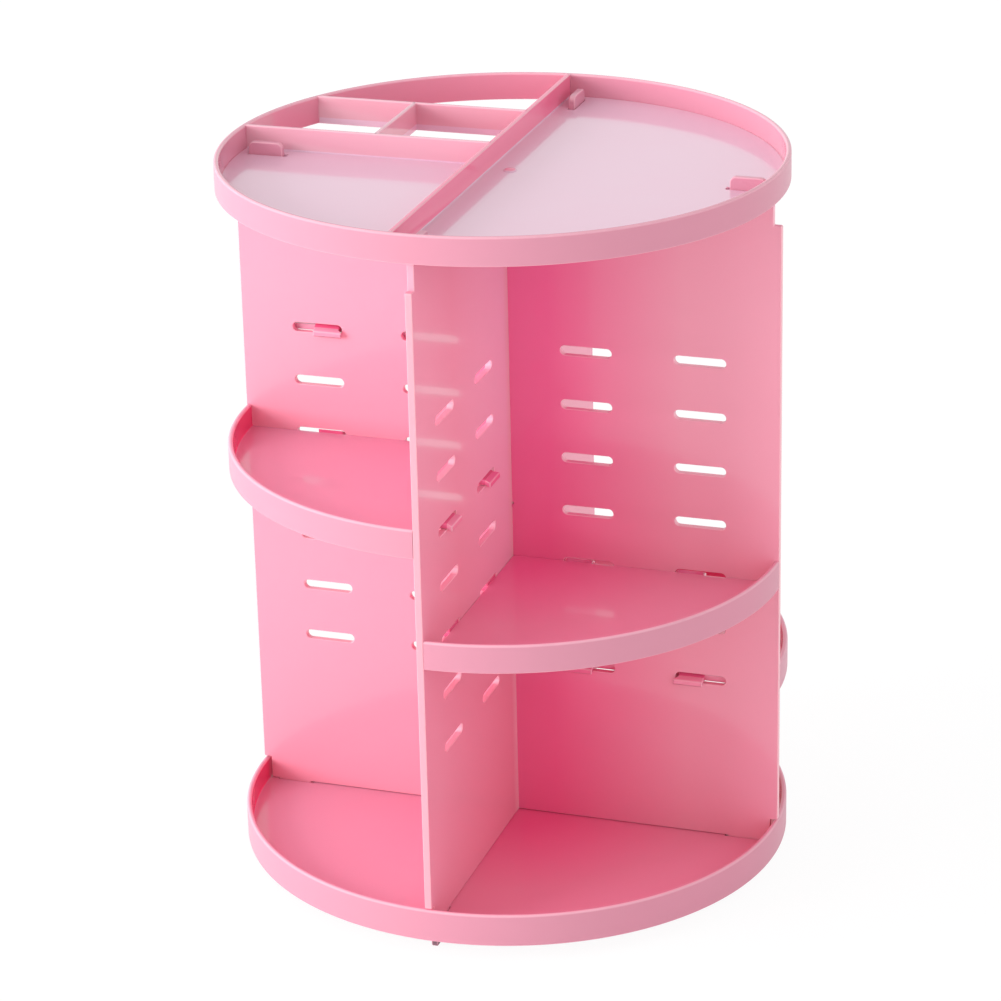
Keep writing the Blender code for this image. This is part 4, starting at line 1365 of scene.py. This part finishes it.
@dataclass(frozen=True)
class ShelfTray:
    """A quarter-round shelf tray whose hooked lugs hang in the panels' slots."""

    quarter: Quarter
    level: int
    form: TrayForm
    panels: PanelForm
    side: float = 0.0015
    seat: float = 0.00005
    floor: float = 0.00245
    rim_rise: float = 0.0095
    rim_rounding: float = 0.00007
    edge_corner: float = 0.00005
    axis_corner: float = 0.0012
    edge_rounding: float = 0.0003
    rounding_share: float = 0.9
    lug_width: float = 0.0106
    lug_end_clearance: float = 0.0015
    lug_thickness: float = 0.00235
    lug_reach: float = 0.0022
    lug_corner: float = 0.0004
    lug_rounding: float = 0.0005
    wedge_foot: float = 0.0006
    wedge_recess: float = 0.0001
    wedge_corner: float = 0.0001
    slide_rise: float = 0.5
    root: float = 0.0015

    def lug_start(self, slot_offset: float) -> float:
        """How far from the turning axis the lug in a slot starts."""
        return slot_offset - self.panels.slot_length / 2 + self.lug_end_clearance

    def lug(self, slot_offset: float, bottom: float) -> Surface:
        """One lug through the wide panel.

        Past the panel's far face, a point at the depth e drops by the slide's rise times e, and
        the inner side leans in by e, less towards the outer side, which stays straight.

        Args:
            slot_offset: how far the slot's centre lies from the turning axis.
            bottom: the height of the lug's underside.

        Returns:
            The lug's closed surface.
        """
        low_x = self.lug_start(slot_offset)
        far_face = -self.panels.thickness / 2
        tip = far_face - self.lug_reach
        length = self.side + self.root - tip
        centre = (low_x + self.lug_width / 2, bottom + self.lug_thickness / 2)
        size = (self.lug_width, self.lug_thickness)
        section = Outline.box(centre, size, self.lug_corner, steps=4, rounding=self.lug_rounding)
        straight = prism([section], StraightRun((0.0, tip + length / 2, 0.0), RIGHT, UP), length, spans=12)
        x, y, z = straight.vertices.T
        depth = np.clip(far_face - y, 0.0, None)
        lean = 1.0 - np.clip((x - low_x) / self.lug_width, 0.0, 1.0)
        return straight.bent(np.stack([x - depth * lean, y, z - self.slide_rise * depth], axis=1))

    def wedge(self, slot_offset: float, bottom: float) -> Surface:
        """The rise on a lug's neck that closes the slot at the tray's side.

        Its top falls towards the panel's far face at the slide's rise, so it leaves the slot along
        the same line as the lug does.

        Args:
            slot_offset: how far the slot's centre lies from the turning axis.
            bottom: the height of the lug's underside.

        Returns:
            The wedge's closed surface.
        """
        far_face = -self.panels.thickness / 2
        near_face = -far_face - self.wedge_recess
        top = bottom + self.lug_thickness
        foot = top - self.wedge_foot
        crest = top + self.slide_rise * (near_face - far_face)
        corners = np.array([(far_face, foot), (near_face, foot), (near_face, crest), (far_face, top)])
        run = StraightRun((self.lug_start(slot_offset) + self.lug_width / 2, 0.0, 0.0), BACK, UP)
        width = self.lug_width - 2 * self.form.step
        return prism([Outline.rounded(corners, self.wedge_corner, steps=2)], run, width, edge_steps=1)

    def floor_outline(self, reach: float) -> Outline:
        """The floor's edge: the corner by the axis, and the arc inside the rim's wall.

        Args:
            reach: the arc's radius.

        Returns:
            The closed outline.
        """
        gap_angle = math.asin(self.side / reach)
        angles = np.linspace(gap_angle, QUARTER_TURN - gap_angle, self.form.round_steps // 4)
        corners = np.concatenate([[(self.side, self.side)], reach * directions(angles)])
        radii = np.full(len(corners), self.edge_corner)
        radii[0] = self.axis_corner
        rounding = np.minimum(self.edge_rounding, radii * self.rounding_share)
        return Outline.rounded(corners, radii, steps=5, rounding=rounding)

    def build(self, finishes: Finishes) -> None:
        """Make the tray in the +X +Y quarter and turn it into its own.

        Args:
            finishes: the finishes that dress it.
        """
        form, panels = self.form, self.panels
        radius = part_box("base_tray")[1][0]
        bottom = -panels.slot_height / 2 + self.seat
        floor_top = bottom + self.floor
        floor = form.floor([self.floor_outline(radius - form.wall / 2)], bottom, floor_top)
        section = form.rim_section(radius, bottom, floor_top + self.rim_rise, floor_top, self.rim_rounding)
        arc_length = radius * (QUARTER_TURN - 2 * math.asin(self.side / radius))
        run = RoundRun(radius, QUARTER_TURN / 2)
        rim = prism([section], run, arc_length, edge_steps=3, spans=form.round_steps // 4)
        lug_bottom = bottom + 2 * form.step
        shapes = (self.lug, self.wedge)
        lugs = [shape(offset, lug_bottom) for offset in panels.slot_offsets for shape in shapes]
        whole = Surface.joined([floor, rim, *lugs, *(lug.swapped() for lug in lugs)])
        surface = whole.turned(self.quarter).moved((0.0, 0.0, panels.level_height(self.level)))
        name = self.quarter.name
        finishes.dress(
            "moulded", f"shelf_tray_{name.lower()}", surface, "shelf_plastic", Body[f"SHELF_{name}"]
        )


@dataclass(frozen=True)
class Stand:
    """The turntable's base plate and its rubber feet."""

    lip_width: float = 0.0018
    lip_rise: float = 0.0020
    plate: float = 0.0025
    hub_rise: float = 0.0025
    hub_wall: float = 0.0025
    hub_slope: float = 0.0015
    hub_radius: float = 0.0200
    hub_hole: float = 0.0078
    groove_radius: float = 0.0028
    ball_height: float = 0.0057
    corner: float = 0.0003
    groove_corner: float = 0.00002
    feet: int = 6
    sole_corner: float = 0.0005
    foot_top_corner: float = 0.0002

    def plate_section(self) -> Outline:
        """The plate's section: lip, rounded edge, pocket, hub and ball groove.

        Returns:
            The closed section (radius, height).
        """
        low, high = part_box("turntable_base")
        radius, bottom = high[0], low[2]
        top = bottom + self.plate
        hub_top = top + self.hub_rise
        pocket = self.hub_radius - self.hub_wall
        half_chord = math.sqrt(self.groove_radius ** 2 - (self.ball_height - top) ** 2)
        lip_angle = math.atan2(top - self.ball_height, half_chord)
        groove = self.groove_radius * directions(np.linspace(lip_angle, -math.pi - lip_angle, num=17))
        outside = [
            (pocket, bottom),
            (radius, bottom),
            (radius, top + self.lip_rise),
            (radius - self.lip_width, top + self.lip_rise),
            (radius - self.lip_width, top),
        ]
        hub = [
            (self.hub_radius, top),
            (self.hub_radius - self.hub_slope, hub_top),
            (self.hub_hole, hub_top),
            (self.hub_hole, hub_top - self.hub_wall),
            (pocket, hub_top - self.hub_wall),
        ]
        corners = np.concatenate([outside, groove + (RACE_RADIUS, self.ball_height), hub])
        radii = np.full(len(corners), self.corner)
        radii[len(outside):-len(hub)] = self.groove_corner
        return Outline.rounded(corners, radii, steps=4)

    def build(self, finishes: Finishes) -> None:
        """Make the plate and the feet.

        Args:
            finishes: the finishes that dress them.
        """
        plate = ring(self.plate_section(), steps=192)
        finishes.dress("moulded", "turntable_base", plate, "turntable_plastic", Body.STAND)
        for number in range(1, self.feet + 1):
            node = f"rubber_foot_{number}"
            low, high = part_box(node)
            radius, height = (high[0] - low[0]) / 2, high[2] - low[2]
            corners = np.array([(0.0, 0.0), (radius, 0.0), (radius, height), (0.0, height)])
            radii = np.array([0.0, self.sole_corner, self.foot_top_corner, 0.0])
            foot = turned_solid(Outline.rounded(corners, radii, steps=5), steps=48)
            glued = foot.moved(((low[0] + high[0]) / 2, (low[1] + high[1]) / 2, low[2]))
            finishes.dress("moulded", node, glued, "foot_rubber", Body.STAND)


@dataclass(frozen=True)
class BallRace:
    """The cage ring and the steel balls in its holes."""

    half_width: float = 0.0052
    balls: int = 12
    edge_rounding: float = 0.0003
    hole_rounding: float = 0.0002

    def build(self, finishes: Finishes) -> None:
        """Make the cage and the balls.

        Args:
            finishes: the finishes that dress them.
        """
        low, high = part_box("ball_cage")
        middle = (low[2] + high[2]) / 2
        ball_low, ball_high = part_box("bearing_ball_01")
        ball_radius = (ball_high[2] - ball_low[2]) / 2
        places = RACE_RADIUS * directions(np.arange(self.balls) * FULL_TURN / self.balls)
        outer, inner = (
            Outline.circle(RACE_RADIUS + side * self.half_width, steps=144, rounding=self.edge_rounding)
            for side in (1, -1)
        )
        hole = ball_radius + SEAT_GAP
        holes = [
            Outline.circle(hole, steps=24, centre=place, rounding=self.hole_rounding).hole()
            for place in places
        ]
        cage = slab([outer, inner.hole(), *holes], low[2], high[2], edge_steps=3)
        finishes.dress("moulded", "ball_cage", cage, "cage_plastic", Body.CAGE)
        normals = directions(np.linspace(-QUARTER_TURN, QUARTER_TURN, num=17))
        normals[[0, -1], 0] = 0.0
        flat = np.zeros(len(normals))
        ball = turned_solid(Outline(ball_radius * normals, normals, rounding=flat, crest=flat), steps=32)
        for number, place in enumerate(places, start=1):
            caged = ball.moved((*place, middle))
            finishes.dress("ground", f"bearing_ball_{number:02d}", caged, "ball_steel", Body.CAGE)


@dataclass(frozen=True)
class Pivot:
    """The washer and the pan-head screw that hold the carousel on its stand."""

    shank_radius: float = 0.00175
    washer_corner: float = 0.0002
    head_height: float = 0.0016
    recess_depth: float = 0.0009
    recess_arm: float = 0.0021
    recess_width: float = 0.0009
    seam_corner: float = 0.00003
    head_top_corner: float = 0.0003
    neck_corner: float = 0.0002
    tip_corner: float = 0.0004
    head_rounding: float = 0.0004

    def cross(self) -> Outline:
        """The cross recess in the screw's head, as a hole.

        Returns:
            The hole's outline.
        """
        arm, half = self.recess_arm, self.recess_width / 2
        quarter = np.array([(arm, -half), (arm, half), (half, half)])
        corners = np.concatenate([quarter @ quarter_spin(turns).T for turns in range(4)])
        radius, rounding = self.recess_width / 8, self.recess_width / 10
        return Outline.rounded(corners, radius, steps=3, rounding=rounding).hole()

    def build(self, finishes: Finishes) -> None:
        """Make the washer and the screw.

        Args:
            finishes: the finishes that dress them.
        """
        low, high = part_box("pivot_washer")
        radii = (self.shank_radius + SEAT_GAP, high[0])
        washer = band(radii, (low[2], high[2]), self.washer_corner, corner_steps=4, steps=96)
        finishes.dress("stamped", "pivot_washer", washer, "zinc_steel", Body.CAROUSEL)
        low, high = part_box("pivot_screw")
        head, bottom, top = high[0], low[2], high[2]
        head_top, recess_top = bottom + self.head_height, bottom + self.recess_depth
        shank = self.shank_radius
        rows = [
            (0.0, recess_top, 0.0, 0.0),
            (head, recess_top, self.seam_corner, 0.0),
            (head, head_top, self.head_top_corner, 0.0),
            (shank, head_top, self.neck_corner, 0.0),
            (shank, top, self.tip_corner, 0.0),
            (0.0, top, 0.0, 0.0),
        ]
        upper = turned_solid(Outline.traced(rows, steps=5), steps=64)
        edge = Outline.circle(head, steps=64, rounding=self.head_rounding)
        face = slab([edge, self.cross()], bottom, recess_top)
        screw = Surface.joined([upper, face])
        finishes.dress("driven", "pivot_screw", screw, "zinc_steel", Body.CAROUSEL)


# Studio


@dataclass(frozen=True)
class SoftBox:
    """A rectangular lamp: where it stands, what it looks at, its sides and its power in watts."""

    name: str
    place: Place
    target: Place
    width: float
    height: float
    power: float
    is_mirrored: bool

    def build(self) -> None:
        """Add the lamp, unseen by the camera."""
        data = bpy.data.lights.new(self.name, "AREA")
        data.shape = "RECTANGLE"
        data.size = self.width
        data.size_y = self.height
        data.energy = self.power
        lamp = placed(self.name, data)
        lamp.location = self.place
        direction = Vector(self.target) - Vector(self.place)
        lamp.rotation_euler = direction.to_track_quat("-Z", "Y").to_euler()
        lamp.visible_camera = False
        lamp.visible_glossy = self.is_mirrored


@dataclass(frozen=True)
class Studio:
    """A white floor in a tent of light, soft boxes, and a camera at the photograph's angle."""

    left_light: float = 1.87
    right_light: float = 1.38
    front_light: float = 0.465
    back_light: float = 0.019
    top_light: float = 0.007
    floor_half_width: float = 6.0
    floor_height: float = -0.00005
    floor_shade: Colour = (0.95, 0.95, 0.95, 1.0)
    floor_white: float = 1.03
    shadow_share: float = 0.09
    white: Colour = (1.0, 1.0, 1.0, 1.0)
    camera_distance: float = 1.5188
    camera_azimuth: float = 18.61
    camera_elevation: float = 21.96
    camera_roll: float = -1.343
    camera_target: Place = (-0.00374, -0.00126, 0.15228)
    focal_length: float = 132.01
    sensor_width: float = 36.0
    lamps: tuple[SoftBox, ...] = (
        SoftBox(
            "key_box", (-1.45, -1.15, 0.60), target=(0.0, 0.0, 0.15),
            width=1.0, height=0.8, power=24.2, is_mirrored=False,
        ),
        SoftBox(
            "back_box", (-0.42, 1.25, 0.83), target=(0.0, 0.0, 0.3),
            width=0.9, height=0.7, power=0.13, is_mirrored=True,
        ),
    )

    def seen_white(self, shader: ShaderTree) -> Value:
        """One where a ray comes from the camera, a reflection or a clear material.

        Args:
            shader: the tree that the nodes go into.

        Returns:
            The mask.
        """
        path = shader.node("LightPath")
        camera, glossy, clear = (
            shader.value(path, f"Is {kind} Ray") for kind in ("Camera", "Glossy", "Transmission")
        )
        return camera | glossy | clear

    def build_world(self) -> None:
        """A studio tent: white where it is seen, and as light bright at the sides and dim above."""
        world = bpy.data.worlds.new("studio_sky")
        shader = ShaderTree(world)
        x, y, z = shader.axes(shader.node("TexCoord").outputs["Generated"])
        light = (
            (0.0 - x).clamped() * self.left_light
            + x.clamped() * self.right_light
            + (0.0 - y).clamped() * self.front_light
            + y.clamped() * self.back_light
            + z.clamped() * self.top_light
        )
        seen = self.seen_white(shader)
        sky = shader.node("Background", Color=self.white, Strength=light * (1.0 - seen) + seen)
        shader.node("OutputWorld", Surface=sky.outputs["Background"])
        bpy.context.scene.world = world

    def build_floor(self) -> None:
        """A wide white floor that keeps a faint shadow of the object."""
        half, z = self.floor_half_width, self.floor_height
        mesh = bpy.data.meshes.new("studio_floor")
        corners = [(-half, -half, z), (half, -half, z), (half, half, z), (-half, half, z)]
        mesh.from_pydata(corners, [], [(0, 1, 2, 3)])
        material = bpy.data.materials.new("studio_floor")
        shader = ShaderTree(material)
        paper = shader.node("BsdfDiffuse", Color=self.floor_shade).outputs["BSDF"]
        glow = shader.node("Emission", Color=self.white, Strength=self.floor_white)
        factor = self.seen_white(shader) * (1.0 - self.shadow_share)
        both = {"Shader": paper, "Shader_001": glow.outputs["Emission"]}
        mixed = shader.node("MixShader", Fac=factor, **both)
        shader.node("OutputMaterial", Surface=mixed.outputs["Shader"])
        mesh.materials.append(material)
        placed("studio_floor", mesh)

    def build_camera(self) -> None:
        """The camera, turned about its own axis by the photograph's slight tilt."""
        azimuth, elevation = math.radians(self.camera_azimuth), math.radians(self.camera_elevation)
        level = math.cos(elevation)
        back = Vector((math.sin(azimuth) * level, -math.cos(azimuth) * level, math.sin(elevation)))
        data = bpy.data.cameras.new("photo_camera")
        data.lens = self.focal_length
        data.sensor_width = self.sensor_width
        camera = placed("photo_camera", data)
        upright = (-back).to_track_quat("-Z", "Y").to_matrix().to_4x4()
        roll = Matrix.Rotation(math.radians(self.camera_roll), 4, "Z")
        place = Matrix.Translation(Vector(self.camera_target) + back * self.camera_distance)
        camera.matrix_world = place @ upright @ roll
        bpy.context.scene.camera = camera

    def build(self) -> None:
        """Set up the whole studio."""
        self.build_world()
        self.build_floor()
        for lamp in self.lamps:
            lamp.build()
        self.build_camera()
        bpy.context.scene.view_settings.view_transform = "Standard"


def main() -> None:
    """Dress the organizer and set up the studio."""
    logging.basicConfig(level=logging.INFO, format="%(name)s: %(message)s")
    finishes = Finishes()
    trays, panels = TrayForm(), PanelForm()
    levels = {
        Quarter.REAR_RIGHT: 7, Quarter.REAR_LEFT: 1, Quarter.FRONT_LEFT: 3, Quarter.FRONT_RIGHT: 5
    }
    sub_assemblies = [
        Panel("wide_panel", lap_from_top=True, across=RIGHT, finish="panel_plastic", form=panels),
        Panel("deep_panel", lap_from_top=False, across=BACK, finish="seam_lit_panel_plastic", form=panels),
        BaseTray(trays, panels),
        TopTray(trays, panels),
        *(ShelfTray(quarter, level, trays, panels) for quarter, level in levels.items()),
        Stand(),
        BallRace(),
        Pivot(),
    ]
    for sub_assembly in sub_assemblies:
        sub_assembly.build(finishes)
    Studio().build()


if __name__ == "__main__":
    main()
